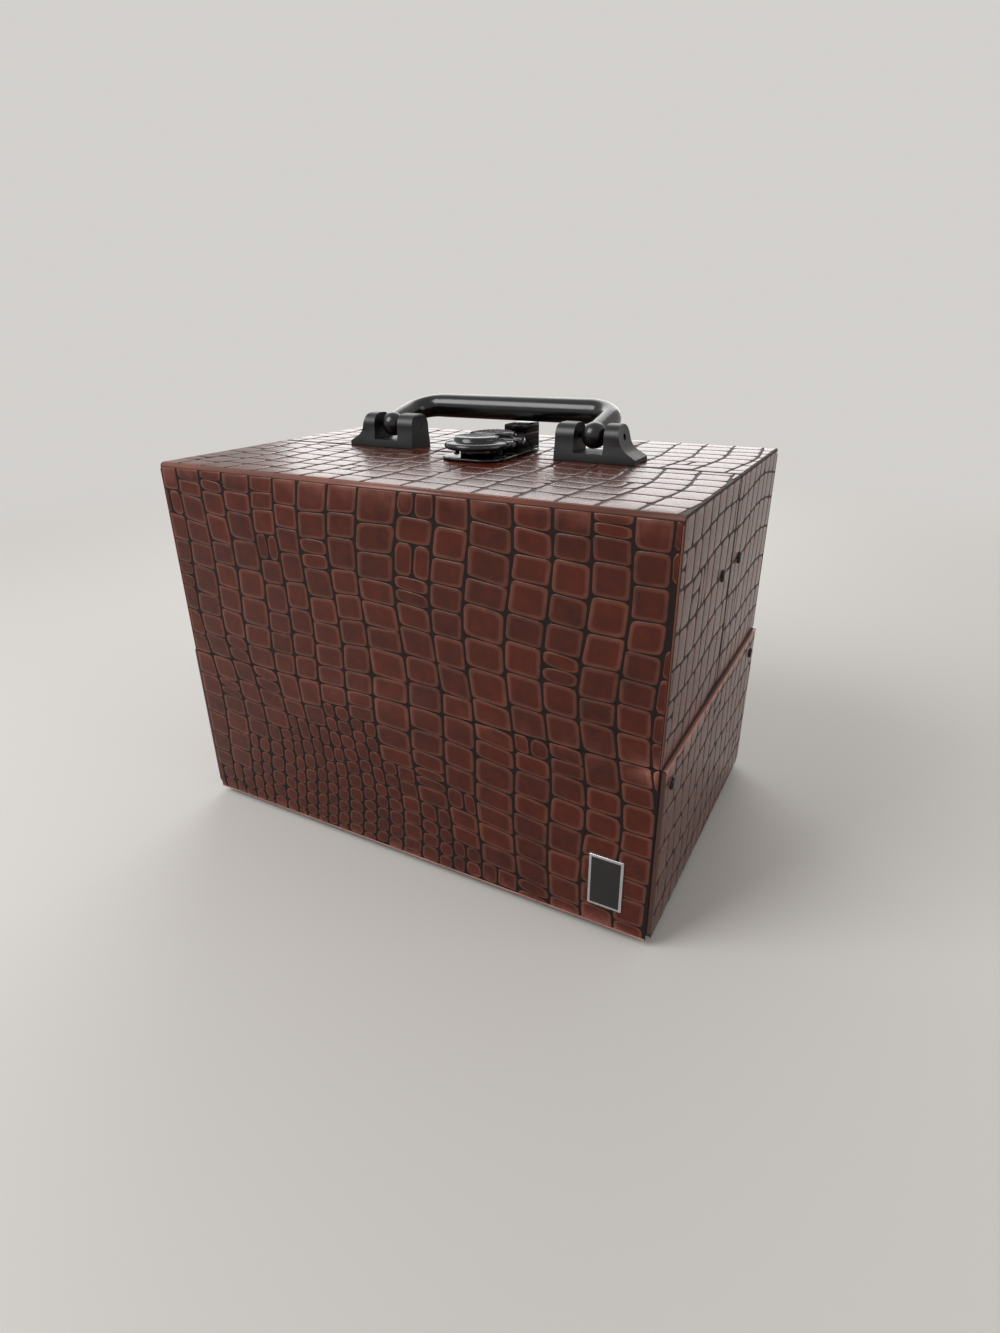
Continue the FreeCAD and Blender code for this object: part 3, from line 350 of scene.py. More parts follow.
# Moulded rubber: matt, with no clear reflection.
FOOT_RUBBER = MouldedPlastic("black_rubber", "#121212", 0.75, 0.5, 0.08)
# Stamped strap in black enamel: smooth, with light scratches along it.
ARM_STEEL = PaintedSteel("black_enamel_strap", "#17171a", 0.0, 0.34)
# Lacquered steel rivet: dark, with a small bright spot on its dome.
RIVET_STEEL = PaintedSteel("black_lacquer_rivet", "#0c0c0d", 0.3, 0.22)
# Plated steel: pale and mirror-like, slightly brushed.
BRIGHT_STEEL = PaintedSteel("bright_plated_edge", "#b9b9bb", 1.0, 0.24)
# Hardboard under flock: swallows light, with a faint nap.
LINING = FlockLining()
# Turned edge of the leathercloth, scuffed to its paler core along the lower edges; on the base end tops the
# same pale colour is a painted highlight.
FOLDED_EDGE = MouldedPlastic("worn_pvc_edge", "#96655a", 0.34, 2.0, 0.05)
# Leathercloth turned round the base corners, in shadow and little rubbed.
CORNER_EDGE = MouldedPlastic("turned_pvc_corner", "#3a1d14", 0.4, 2.0, 0.05)
# Leathercloth stretched smooth over the top edge, drawn lighter as a painted highlight along that edge; the
# lids' upright corners share it.
TOP_EDGE = MouldedPlastic("stretched_pvc_edge", "#643527", 0.28, 3.0, 0.06)


def linked(mesh: bpy.types.Mesh, smooth: bool = True) -> bpy.types.Object:
    """Put a mesh into the scene, at the origin.

    Args:
        mesh: Finished mesh, whose name the piece gets.
        smooth: Whether faces shade smoothly.

    Returns:
        The piece.
    """
    mesh.polygons.foreach_set("use_smooth", [smooth] * len(mesh.polygons))
    piece = bpy.data.objects.new(mesh.name, mesh)
    bpy.context.scene.collection.objects.link(piece)
    return piece


def mesh_piece(name: str, points: Iterable[Point3], faces: Iterable[Sequence[int]],
               smooth: bool = True) -> bpy.types.Object:
    """Make a piece from points in metres.

    Args:
        name: Name of the piece.
        points: Corner points.
        faces: Corner indices of each face.
        smooth: Whether faces shade smoothly.

    Returns:
        The piece, at the origin.
    """
    mesh = bpy.data.meshes.new(name)
    mesh.from_pydata([tuple(p) for p in points], [], [tuple(f) for f in faces])
    mesh.update()
    return linked(mesh, smooth)


def shape_piece(name: str, shape: bmesh.types.BMesh) -> bpy.types.Object:
    """Make a smooth piece from an edit mesh, with its faces pointing outwards.

    Args:
        name: Name of the piece.
        shape: Edit mesh, freed here.

    Returns:
        The piece, at the origin.
    """
    bmesh.ops.recalc_face_normals(shape, faces=shape.faces)
    mesh = bpy.data.meshes.new(name)
    shape.to_mesh(mesh)
    shape.free()
    return linked(mesh)


def rounded_block(name: str, low: Point3, high: Point3, width_mm: float) -> bpy.types.Object:
    """Make a block between two corners, with rounded edges.

    Args:
        name: Name of the piece.
        low: Lower corner, in millimetres.
        high: Upper corner, in millimetres.
        width_mm: Width of the rounding.

    Returns:
        The piece.
    """
    points = [(x * MM, y * MM, z * MM) for z in (low[2], high[2])
              for x, y in ((low[0], low[1]), (high[0], low[1]), (high[0], high[1]), (low[0], high[1]))]
    faces = [[0, 1, 2, 3], [4, 5, 6, 7], [0, 1, 5, 4], [1, 2, 6, 5], [2, 3, 7, 6], [3, 0, 4, 7]]
    piece = mesh_piece(name, points, faces)
    close_normals(piece)
    soften(piece, width_mm)
    return piece


def settle(piece: bpy.types.Object) -> None:
    """Turn a piece and its modifiers into a plain mesh.

    Args:
        piece: Piece to change.
    """
    graph = bpy.context.evaluated_depsgraph_get()
    done = bpy.data.meshes.new_from_object(piece.evaluated_get(graph))
    piece.modifiers.clear()
    piece.data = done
    done.name = piece.name


def close_normals(piece: bpy.types.Object, merge: float = 1e-6) -> None:
    """Merge doubles and point every face outwards.

    Args:
        piece: Piece to change.
        merge: Distance under which corners are joined, in metres.
    """
    shape = bmesh.new()
    shape.from_mesh(piece.data)
    bmesh.ops.remove_doubles(shape, verts=shape.verts, dist=merge)
    bmesh.ops.recalc_face_normals(shape, faces=shape.faces)
    shape.to_mesh(piece.data)
    shape.free()


def soften(piece: bpy.types.Object, width_mm: float, segments: int = 3, angle: float = 32.0) -> None:
    """Bevel a piece's sharp edges and shade it by face size.

    Args:
        piece: Piece to finish.
        width_mm: Width of the bevel.
        segments: Steps across the bevel.
        angle: Least angle, in degrees, of an edge that is bevelled.
    """
    rounding = piece.modifiers.new("rounding", "BEVEL")
    rounding.width = width_mm * MM
    rounding.segments = segments
    rounding.limit_method = "ANGLE"
    rounding.angle_limit = math.radians(angle)
    rounding.harden_normals = False
    weights = piece.modifiers.new("weights", "WEIGHTED_NORMAL")
    weights.keep_sharp = False
    settle(piece)


def finish_piece(piece: bpy.types.Object, material: bpy.types.Material, body: str,
                 nodes: Sequence[str] = ()) -> None:
    """Dress a piece and hang it on its body.

    Args:
        piece: Finished mesh.
        material: Its material.
        body: Body that it rides on.
        nodes: Solids that it stands for.
    """
    piece.data.materials.clear()
    piece.data.materials.append(material)
    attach(piece, body)
    if nodes:
        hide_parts(*nodes)
    LOG.info("%s rides on %s with %d faces", piece.name, body, len(piece.data.polygons))


@dataclass(frozen=True)
class CaseSizes:
    """Sizes of the case in millimetres, as the solids have them."""

    width: float = 250.0
    depth: float = 166.0
    foot: float = 4.0
    base: float = 84.0
    lid: float = 96.0
    cover: float = 0.8
    edge_round: float = 3.0
    seam: float = 0.4
    proud: float = 126.8  # outer face of the base end covering
    end_depth: float = 82.2  # half depth of the end sheets
    end_corner: float = 4.0  # radius of the base end sheets' lower corners
    floor_depth: float = 0.22  # groove floor below the outer face
    rise: float = 0.34  # height of a scale above the groove floor
    lap: float = 0.02  # groove floors end this far off the boards
    sink: float = 0.03  # scales start this far under the groove floor

    @property
    def crease(self) -> float:
        """Height of the crease."""
        return self.foot + self.base

    @property
    def top(self) -> float:
        """Height of the lids' top."""
        return self.foot + self.base + self.lid

    def wrap(self, along: float, depth: float) -> Point2:
        """Place on the sheet that runs up the front and over the top.

        Args:
            along: Distance from the lower edge of the front, along the surface.
            depth: Distance below the outer face.

        Returns:
            Y, for the front half, and Z.
        """
        r = self.edge_round
        straight = self.base + self.lid - r
        bend = r * math.pi / 2
        front = -self.depth / 2
        if along <= straight:
            return front + depth, self.foot + along
        if along <= straight + bend:
            turn = (along - straight) / r
            return (front + r - (r - depth) * math.cos(turn),
                    self.top - r + (r - depth) * math.sin(turn))
        return front + r + along - straight - bend, self.top - depth

    @property
    def wrap_end(self) -> float:
        """Length of the sheet from the lower edge to the seam."""
        r = self.edge_round
        return self.base + self.lid - r + r * math.pi / 2 + self.depth / 2 - r - self.seam


SIZES = CaseSizes()


@dataclass
class ScalePattern:
    """Reptile grain: columns of pillow scales between narrow grooves.

    Below its fork a column runs in two, with smaller scales. In every column a row ends at
    each stop, so that no scale lies across a fold.
    """

    seed: int
    column: Callable[[float], float]
    row: float
    valley: float = 0.8
    line: float = 0.28
    lean: float = 0.0
    stops: tuple[float, ...] = ()
    fork: Callable[[float], float] = lambda u: -math.inf
    share: Callable[[float, float], float] = lambda u, v: 1.0
    corners: int = 16
    width_range: Point2 = (0.84, 1.16)  # shares of the even width and height
    height_range: Point2 = (0.82, 1.2)
    split_range: Point2 = (0.42, 0.58)
    fork_drift: float = 7.0
    stack_below: float = 0.025  # draw below which a cell has two scales, one over the other
    pair_above: float = 0.98  # draw above which a wide cell has two scales side by side
    skew: float = 0.05
    jitter: float = 0.16
    waves: tuple[Point2, ...] = ((2.1, 31.0), (1.3, 13.0), (1.7, 27.0))  # height and length
    spread: float = 30.0  # grain beyond the panel, so that its edges are cut
    slim: float = 10.0  # cells narrower than this have round scales
    round_power: Point2 = (2.7, 4.2)
    square_power: Point2 = (5.5, 10.0)
    least: float = 1.6  # smaller remains of a scale are dropped
    random: np.random.Generator = field(init=False)

    def __post_init__(self) -> None:
        """Start the fixed random sequence."""
        self.random = np.random.default_rng(self.seed)

    def bent(self, u: float, v: float) -> Point2:
        """Move a point of the even grid to its place in the grain.

        Args:
            u: Place across the columns, in millimetres.
            v: Place along the columns, in millimetres.

        Returns:
            The place in the grain.
        """
        (slow, slow_length), (quick, quick_length), (row, row_length) = self.waves
        return (u + slow * math.sin(v / slow_length + 0.6) + quick * math.sin(v / quick_length + u / 40.0),
                v + row * math.sin(u / row_length + 1.1) + self.lean * u)

    def cells(self, low: Point2, high: Point2) -> list[np.ndarray]:
        """Outlines of the scales inside a panel.

        Args:
            low: Lower left corner of the panel in millimetres.
            high: Upper right corner.

        Returns:
            One array of corner points for each scale.
        """
        found: list[np.ndarray] = []
        start, end = low[1] - self.spread, high[1] + self.spread
        u = low[0] - self.spread
        while u < high[0] + self.spread:
            wide = self.column(u) * self.random.uniform(*self.width_range)
            half = wide * self.random.uniform(*self.split_range)
            fork = max(start, self.fork(u + half) + self.random.uniform(-self.fork_drift, self.fork_drift))
            for left, span, first, last in ((u, half, start, fork), (u + half, wide - half, start, fork),
                                            (u, wide, fork, end)):
                for v, tall in self.rows(left + span / 2, first, last):
                    for part in self.parts(left, v, span, tall):
                        found.extend(self.scale(*part, low, high))
            u += wide
        return found

    def rows(self, u: float, low: float, high: float) -> Iterable[Point2]:
        """Rows of one column, with a row ending at each stop.

        Args:
            u: Middle of the column, in millimetres.
            low: Start of the column.
            high: End of the column.

        Yields:
            Start and height of each row.
        """
        shift = self.bent(u, 0.0)[1]
        ends = [stop - shift for stop in self.stops] + [high]
        v = low
        while v < high - 0.01:
            tall = self.row * self.share(u, v) * self.random.uniform(*self.height_range)
            left = min(end - v for end in ends if end > v + 0.01)
            if left < 1.3 * tall:
                tall = left
            elif left < 2.0 * tall:
                tall = left / 2
            yield v, tall
            v += tall

    def parts(self, u: float, v: float, wide: float,
              tall: float) -> list[tuple[float, float, float, float, bool]]:
        """One cell of the grid, or the small scales that it splits into.

        Args:
            u: Place across the columns, in millimetres.
            v: Place along the columns, in millimetres.
            wide: Width of the cell.
            tall: Height of the cell.

        Returns:
            Corner, width, height and kind of each scale.
        """
        split = self.random.uniform(*self.split_range)
        chance = self.random.uniform(0.0, 1.0)
        stack = chance < self.stack_below
        columns = [(u, wide)]
        if chance > self.pair_above and wide > self.slim:
            columns = [(u, wide * split), (u + wide * split, wide * (1.0 - split))]
        rows = [(v, tall / 2), (v + tall / 2, tall / 2)] if stack else [(v, tall)]
        split_up = len(columns) * len(rows) > 1
        return [(cu, rv, cw, rt, split_up) for cu, cw in columns for rv, rt in rows]

    def scale(self, u: float, v: float, wide: float, tall: float, small: bool, low: Point2,
              high: Point2) -> list[np.ndarray]:
        """Rounded outline of one scale, cut to the panel, or nothing.

        Args:
            u: Place across the columns, in millimetres.
            v: Place along the columns, in millimetres.
            wide: Width of the cell.
            tall: Height of the cell.
            small: Whether it is one of the small round scales.
            low: Lower left corner of the panel.
            high: Upper right corner of the panel.

        Returns:
            The outline, or an empty list.
        """
        middle = (u + wide / 2, v + tall / 2)
        half = ((wide - self.valley) / 2, (tall - self.line) / 2)
        small = small or wide < self.slim
        power = 2.0 / self.random.uniform(*(self.round_power if small else self.square_power))
        skew = self.random.uniform(-self.skew, self.skew)
        outline = []
        for k in range(self.corners):
            angle = 2 * math.pi * (k + 0.5) / self.corners
            c, s = math.cos(angle), math.sin(angle)
            du = half[0] * math.copysign(abs(c) ** power, c)
            dv = half[1] * math.copysign(abs(s) ** power, s)
            jitter = self.random.uniform(-self.jitter, self.jitter)
            outline.append(self.bent(middle[0] + du + skew * dv + jitter, middle[1] + dv + skew * du))
        cut = clip_outline(outline, low, high)
        if len(cut) < 4:
            return []
        shape = np.array(cut)
        span = shape.max(axis=0) - shape.min(axis=0)
        return [shape] if min(span) > self.least else []


def clip_outline(outline: list[Point2], low: Point2, high: Point2) -> list[Point2]:
    """Cut an outline to a rectangle.

    Args:
        outline: Corner points in order.
        low: Lower left corner.
        high: Upper right corner.

    Returns:
        Corner points of what is left.
    """
    for axis, edge, sign in ((0, low[0], 1), (0, high[0], -1), (1, low[1], 1), (1, high[1], -1)):
        kept: list[Point2] = []
        for a, b in zip(outline, outline[1:] + outline[:1]):
            da, db = sign * (a[axis] - edge), sign * (b[axis] - edge)
            if da >= 0:
                kept.append(a)
            if da * db < 0:
                t = da / (da - db)
                kept.append((a[0] + t * (b[0] - a[0]), a[1] + t * (b[1] - a[1])))
        outline = kept
        if len(outline) < 3:
            return []
    return outline


def open_tree(name: str, takes: dict[str, str]) -> tuple[bpy.types.NodeTree, bpy.types.NodeOutputs]:
    """Start a Geometry Nodes tree with named inputs and one geometry output.

    Args:
        name: Name of the tree.
        takes: Kind of each input, by name.

    Returns:
        The tree and the sockets of its inputs.
    """
    tree = bpy.data.node_groups.new(name, "GeometryNodeTree")
    for label, kind in takes.items():
        tree.interface.new_socket(label, in_out="INPUT", socket_type=f"NodeSocket{kind}")
    tree.interface.new_socket("Result", in_out="OUTPUT", socket_type="NodeSocketGeometry")
    return tree, add_node(tree, "NodeGroupInput").outputs


def close_tree(tree: bpy.types.NodeTree, shape: bpy.types.NodeSocket,
               finish: bpy.types.NodeSocket) -> bpy.types.NodeTree:
    """End a tree: smooth faces, real meshes in place of instances, and the material.

    Args:
        tree: Tree to end.
        shape: Geometry that it makes.
        finish: Input with the material.

    Returns:
        The tree.
    """
    smooth = add_node(tree, "GeometryNodeSetShadeSmooth", inputs={
        "Geometry": shape, "Shade Smooth": True})
    whole = add_node(tree, "GeometryNodeRealizeInstances", inputs={
        "Geometry": smooth.outputs["Geometry"]})
    dressed = add_node(tree, "GeometryNodeSetMaterial", inputs={
        "Geometry": whole.outputs["Geometry"], "Material": finish})
    add_node(tree, "NodeGroupOutput", inputs={"Result": dressed.outputs["Geometry"]})
    return tree


def scale_tree() -> bpy.types.NodeTree:
    """Geometry Nodes that raise every face of a mesh into a pillow scale.

    Returns:
        The tree, with inputs for the rise and the material.
    """
    tree, start = open_tree("pillow_scales", {
        "Outlines": "Geometry", "Rise": "Float", "Finish": "Material"})
    shape = start["Outlines"]
    top: bpy.types.NodeSocket | None = None
    for ring in Ring:
        inset, share, level = ring.value
        lift = add_node(tree, "ShaderNodeMath", {"operation": "MULTIPLY"}, {
            0: start["Rise"], 1: share})
        raised = add_node(tree, "GeometryNodeExtrudeMesh", {"mode": "FACES"}, {
            "Mesh": shape, "Offset Scale": lift.outputs[0], "Individual": True})
        if top is not None:
            tree.links.new(top, raised.inputs["Selection"])
        top = raised.outputs["Top"]
        drawn = add_node(tree, "GeometryNodeScaleElements", {"domain": "FACE"}, {
            "Geometry": raised.outputs["Mesh"], "Selection": top, "Scale": inset})
        noted = add_node(tree, "GeometryNodeStoreNamedAttribute",
                         {"data_type": "FLOAT", "domain": "POINT"}, {
                             "Geometry": drawn.outputs["Geometry"], "Selection": top,
                             "Name": "ring", "Value": level})
        shape = noted.outputs["Geometry"]
    return close_tree(tree, shape, start["Finish"])


def run_tree(piece: bpy.types.Object, tree: bpy.types.NodeTree, values: dict) -> None:
    """Run a tree on a piece and keep its result as a plain mesh.

    Args:
        piece: Piece that carries the tree.
        tree: Geometry Nodes tree.
        values: Inputs by name.
    """
    maker = piece.modifiers.new("maker", "NODES")
    maker.node_group = tree
    for item in tree.interface.items_tree:
        if item.in_out == "INPUT" and item.name in values:
            maker[item.identifier] = values[item.name]
    settle(piece)


@dataclass
class Covering:
    """Embossed covering of one body: groove floors and the scales on them."""

    name: str
    body: str
    nodes: tuple[str, ...]
    points: list[Point3] = field(default_factory=list)
    faces: list[list[int]] = field(default_factory=list)
    tones: list[float] = field(default_factory=list)
    wear_and_highlight_levels: list[float] = field(default_factory=list)
    floors: list[bpy.types.Object] = field(default_factory=list)

    def add_scales(self, cells: list[np.ndarray], place: Callable[[float, float], Point3],
                   wear_and_highlight: Callable[[float, float], float], seed: int, flip: bool) -> None:
        """Lay scale outlines on a surface.

        Args:
            cells: Outlines on the flat sheet, in millimetres.
            place: Maps the flat sheet to the groove floor.
            wear_and_highlight: Share of rubbing and painted highlight at a place of the flat sheet.
            seed: Seed of the tones.
            flip: Whether the outlines run clockwise seen from outside.
        """
        random = np.random.default_rng(seed)
        for cell in cells:
            order = cell[::-1] if flip else cell
            tone = float(random.uniform(0.0, 1.0))
            first = len(self.points)
            for u, v in order:
                self.points.append(tuple(c * MM for c in place(u, v)))
                self.tones.append(tone)
                self.wear_and_highlight_levels.append(wear_and_highlight(u, v))
            self.faces.append(list(range(first, len(self.points))))

    def add_floor(self, section: list[Point2], span: Point2) -> None:
        """Add a groove floor: a closed strip with a Y-Z section.

        Args:
            section: Y and Z of the section's corners.
            span: X range of the strip.
        """
        points = [(x * MM, y * MM, z * MM) for x in span for y, z in section]
        count = len(section)
        turn = [(k, (k + 1) % count) for k in range(count)]
        faces = [[k, n, count + n, count + k] for k, n in turn]
        faces += [list(range(count))[::-1], list(range(count, 2 * count))]
        floor = mesh_piece(f"{self.name}_floor_{len(self.floors)}", points, faces, smooth=False)
        close_normals(floor)
        self.floors.append(floor)

    def build(self, tree: bpy.types.NodeTree, material: bpy.types.Material, rise: float) -> None:
        """Raise the scales, join the floors to them and hang the piece on its body.

        Args:
            tree: Geometry Nodes tree of the scales.
            material: Material of the piece.
            rise: Height of a scale in millimetres.
        """
        piece = mesh_piece(self.name, self.points, self.faces)
        for label, values in (("tone", self.tones), ("wear_and_highlight", self.wear_and_highlight_levels)):
            layer = piece.data.attributes.new(label, "FLOAT", "POINT")
            layer.data.foreach_set("value", values)
        ring = piece.data.attributes.new("ring", "FLOAT", "POINT")
        ring.data.foreach_set("value", [0.0] * len(self.points))
        run_tree(piece, tree, {"Rise": rise * MM, "Finish": material})
        shape = bmesh.new()
        shape.from_mesh(piece.data)
        for floor in self.floors:
            shape.from_mesh(floor.data)
            bpy.data.objects.remove(floor, do_unlink=True)
        shape.to_mesh(piece.data)
        shape.free()
        finish_piece(piece, material, self.body, self.nodes)


def front_column(u: float) -> float:
    """Width of a column on the front or rear: widest a little to the right of the middle."""
    return 14.0 + 3.4 * math.exp(-((u - 30.0) / 80.0) ** 2)


@dataclass
class Coverings:
    """All sheets of covering, with the fold strips at the creases."""

    sizes: CaseSizes
    material: bpy.types.Material
    edge: bpy.types.Material
    panel: float = 124.3  # half width of the scaled panel
    margin: float = 0.6  # bare covering at the panel's edges
    gap: float = 0.15  # between the scales and the crease
    edge_reach: float = 1.1  # scales run this far on to the rounded top edge
    top_stop: float = 0.6  # rows end this far below the lid height, in the middle of that edge
    least: float = 1.2  # scales cut lower than this are dropped
    focus: float = 34.0  # middle of the forked columns
    fork: tuple[float, float, float] = (78.0, 72.0, 12.0)  # rise, reach and drop of the forks
    # Lost share of the row height, its reach across and along, and the height of its middle.
    small: tuple[float, float, float, float] = (0.4, 78.0, 62.0, 10.0)
    floor_inset: float = 0.2  # groove floors, inside the ends of the case
    floor_gap: float = 0.1  # between groove floors and the crease
    edge_start: float = 1.2  # smooth strip on the top edge, inside the rounding
    edge_proud: float = 0.05
    lid_end: Point2 = (14.5, 10.6)  # column and row of the end sheets
    base_end: Point2 = (15.0, 11.0)
    lid_end_margin: tuple[float, float, float] = (0.4, 0.6, 0.5)  # up, near and far
    base_end_margin: tuple[float, float, float] = (0.6, 0.5, 0.7)  # foot, top and sides
    lid_end_foot: float = 0.3  # lid end sheets, above the crease
    base_end_top: float = 0.2  # base end sheets, below the crease
    end_valley: float = 0.7
    end_lean: float = 0.02
    fold_half: float = 5.0  # half height of the fold strip
    fold_steps: int = 20
    fold_faces: Point2 = (0.56, 0.78)  # depths of its two faces
    fold_bend: float = 1.2  # half height of its bend

    def strip_section(self, side: Side, low: float, high: float,
                      depth: float | None = None) -> list[Point2]:
        """Section of a groove floor along the wrapped sheet.

        Args:
            side: Half of the case.
            low: Start along the sheet.
            high: End along the sheet.
            depth: Depth of the strip's outer face, or the groove floor's if left out.

        Returns:
            Y and Z of the corners.
        """
        s = self.sizes
        depth = s.floor_depth if depth is None else depth
        steps = sorted({low, high} | {
            v for v in np.linspace(s.base + s.lid - s.edge_round,
                                   s.base + s.lid - s.edge_round * (1 - math.pi / 2), 7)
            if low < v < high})
        outer = [s.wrap(v, depth) for v in steps]
        inner = [s.wrap(v, s.cover - s.lap) for v in reversed(steps)]
        return [(-side.value * y, z) for y, z in outer + inner]

    def wrapped(self, side: Side) -> Callable[[float, float], Point3]:
        """Mapping of the flat sheet to the groove floor of a half.

        Args:
            side: Half of the case.

        Returns:
            The mapping.
        """
        s = self.sizes

        def place(u: float, v: float) -> Point3:
            """Place of a flat point, sunk a little into the floor."""
            y, z = s.wrap(v, s.floor_depth + s.sink)
            return u, -side.value * y, z

        return place

    def edge_wear_and_highlight(self, u: float, v: float) -> float:
        """Painted highlight along the top front edge, rubbing along the crease and the lower edge.

        Args:
            u: Place across the columns, in millimetres.
            v: Place along the columns, in millimetres.

        Returns:
            Share of rubbing and painted highlight, from zero to one or a little over.
        """
        s = self.sizes
        edge = s.base + s.lid - s.edge_round * (1 - math.pi / 4)
        # Place, reach and share of each pale line: painted highlight on the top front edge, rubbing on the
        # lower edge and the crease.
        spots = ((edge, 2.6, 0.4), (0.0, 2.0, 0.55), (s.base, 3.0, 0.12))
        level = max(k * math.exp(-((v - at) / reach) ** 2) for at, reach, k in spots)
        rub = 0.55 + 0.45 * math.sin(u * 0.37 + 3.0 * math.sin(u * 0.11))
        # One bare spot at the right end, just below the crease.
        pale_share = 1.2 * math.exp(-((u - 122.0) / 3.5) ** 2 - ((v - s.base + 3.0) / 4.0) ** 2)
        return max(level * rub, pale_share)

    def end_place(self, x: float, right: bool) -> Callable[[float, float], Point3]:
        """Mapping of a flat end sheet, with U up and V along the depth.

        Args:
            x: Outer face of the sheet.
            right: Whether it is the right end.

        Returns:
            The mapping.
        """
        sign = 1.0 if right else -1.0
        level = x - self.sizes.floor_depth - self.sizes.sink

        def place(u: float, v: float) -> Point3:
            """Place of a flat point."""
            return sign * level, v, u

        return place

    def half(self, side: Side, base: Covering, lid: Covering) -> None:
        """Cover the front or rear of the base and the lid above it.

        Args:
            side: Half of the case.
            base: Covering of the base.
            lid: Covering of the lid.
        """
        s = self.sizes
        focus = side.value * self.focus
        rise, reach, drop = self.fork
        loss, across, along, height = self.small
        seed = 11 if side is Side.FRONT else 29

        def fork(u: float) -> float:
            """Height below which a column runs in two."""
            return rise * math.exp(-((u - focus) / reach) ** 2) - drop

        def share(u: float, v: float) -> float:
            """Height of a row, as a share of its full height."""
            return 1.0 - loss * math.exp(-math.hypot((u - focus) / across, (v - height) / along) ** 3)

        pattern = ScalePattern(seed, front_column, 12.0, lean=-0.05, fork=fork, share=share,
                               stops=(s.base, s.base + s.lid - self.top_stop))
        cells = pattern.cells((-self.panel, self.margin), (self.panel, s.wrap_end - self.margin))
        place = self.wrapped(side)
        flip = side is Side.REAR
        bend = s.base + s.lid - s.edge_round
        over = bend + s.edge_round * math.pi / 2
        spans = ((base, self.margin, s.base - self.gap), (lid, s.base + self.gap, bend + self.edge_reach),
                 (lid, over - self.edge_reach, s.wrap_end - self.margin))
        for covering, low, high in spans:
            cut = [clip_outline([tuple(p) for p in c], (-self.panel, low), (self.panel, high))
                   for c in cells]
            kept = [np.array(c) for c in cut if len(c) > 3 and np.ptp(np.array(c)[:, 1]) > self.least]
            covering.add_scales(kept, place, self.edge_wear_and_highlight, seed + 1, flip)
        width = (self.floor_inset - s.width / 2, s.width / 2 - self.floor_inset)
        base.add_floor(self.strip_section(side, 0.0, s.base - self.floor_gap), width)
        lid.add_floor(self.strip_section(side, s.base + self.floor_gap, s.wrap_end), width)
        # smooth strip over the top edge, its lighter colour a painted highlight
        edge = Covering(f"{side.name.lower()}_top_edge", lid.body, ())
        edge.add_floor(self.strip_section(side, bend + self.edge_start, over - self.edge_start,
                                          -self.edge_proud), width)
        strip = edge.floors[0]
        strip.name = strip.data.name = edge.name
        strip.data.polygons.foreach_set("use_smooth", [True] * len(strip.data.polygons))
        finish_piece(strip, self.edge, lid.body)

    def ends(self, side: Side, lid: Covering) -> None:
        """Cover the two ends of a lid.

        Args:
            side: Half of the case.
            lid: Covering of the lid.
        """
        s = self.sizes
        outer = s.width / 2
        near, far = sorted((side.value * s.end_depth, side.value * s.seam))
        low, high = s.crease + self.lid_end_foot, s.top - s.cover
        up, first, last = self.lid_end_margin
        for right in (False, True):
            seed = 40 + 2 * right + (side is Side.REAR)
            pattern = ScalePattern(seed, lambda u: self.lid_end[0], self.lid_end[1],
                                   valley=self.end_valley, lean=self.end_lean)
            cells = pattern.cells((low + up, near + first), (high - up, far - last))
            place = self.end_place(outer, right)
            lid.add_scales(cells, place, self.end_wear_and_highlight(low, 0.35, 2.0), seed + 5, flip=right)
            section = [(near, low), (far, low), (far, high), (near, high)]
            inner = outer - s.cover + s.lap
            span = (inner, outer - s.floor_depth)
            lid.add_floor(section, span if right else (-span[1], -span[0]))

    def end_wear_and_highlight(self, edge: float, share: float, reach: float) -> Callable[[float, float], float]:
        """Pale band along a level edge of an end sheet, falling off with the distance; on the base ends it is
        a painted highlight.
        """
        return lambda u, v: share * math.exp(-((u - edge) / reach) ** 2)

    def base_ends(self, base: Covering) -> None:
        """Cover the proud end panels of the base, with a painted highlight along their top edge.

        Args:
            base: Covering of the base.
        """
        s = self.sizes
        low, high = s.foot, s.crease - self.base_end_top
        foot, top, sides = self.base_end_margin
        for right in (False, True):
            seed = 60 + right
            pattern = ScalePattern(seed, lambda u: self.base_end[0], self.base_end[1],
                                   valley=self.end_valley, lean=self.end_lean)
            cells = pattern.cells((low + foot, sides - s.end_depth), (high - top, s.end_depth - sides))
            place = self.end_place(s.proud, right)
            # painted highlight: pale band along the top edge of each base end
            base.add_scales(cells, place, self.end_wear_and_highlight(high, 0.95, 1.8), seed + 7, flip=right)
            bend = s.end_corner
            section = [(s.end_depth, high), (-s.end_depth, high)]
            for corner in (-1.0, 1.0):
                arc = [math.radians(a) for a in range(0, 91, 15)]
                arc = arc if corner < 0 else arc[::-1]
                section += [(corner * (s.end_depth - bend + bend * math.cos(a)),
                             low + bend - bend * math.sin(a)) for a in arc]
            inner = s.proud - s.cover + s.lap
            span = (inner, s.proud - s.floor_depth)
            base.add_floor(section, span if right else (-span[1], -span[0]))

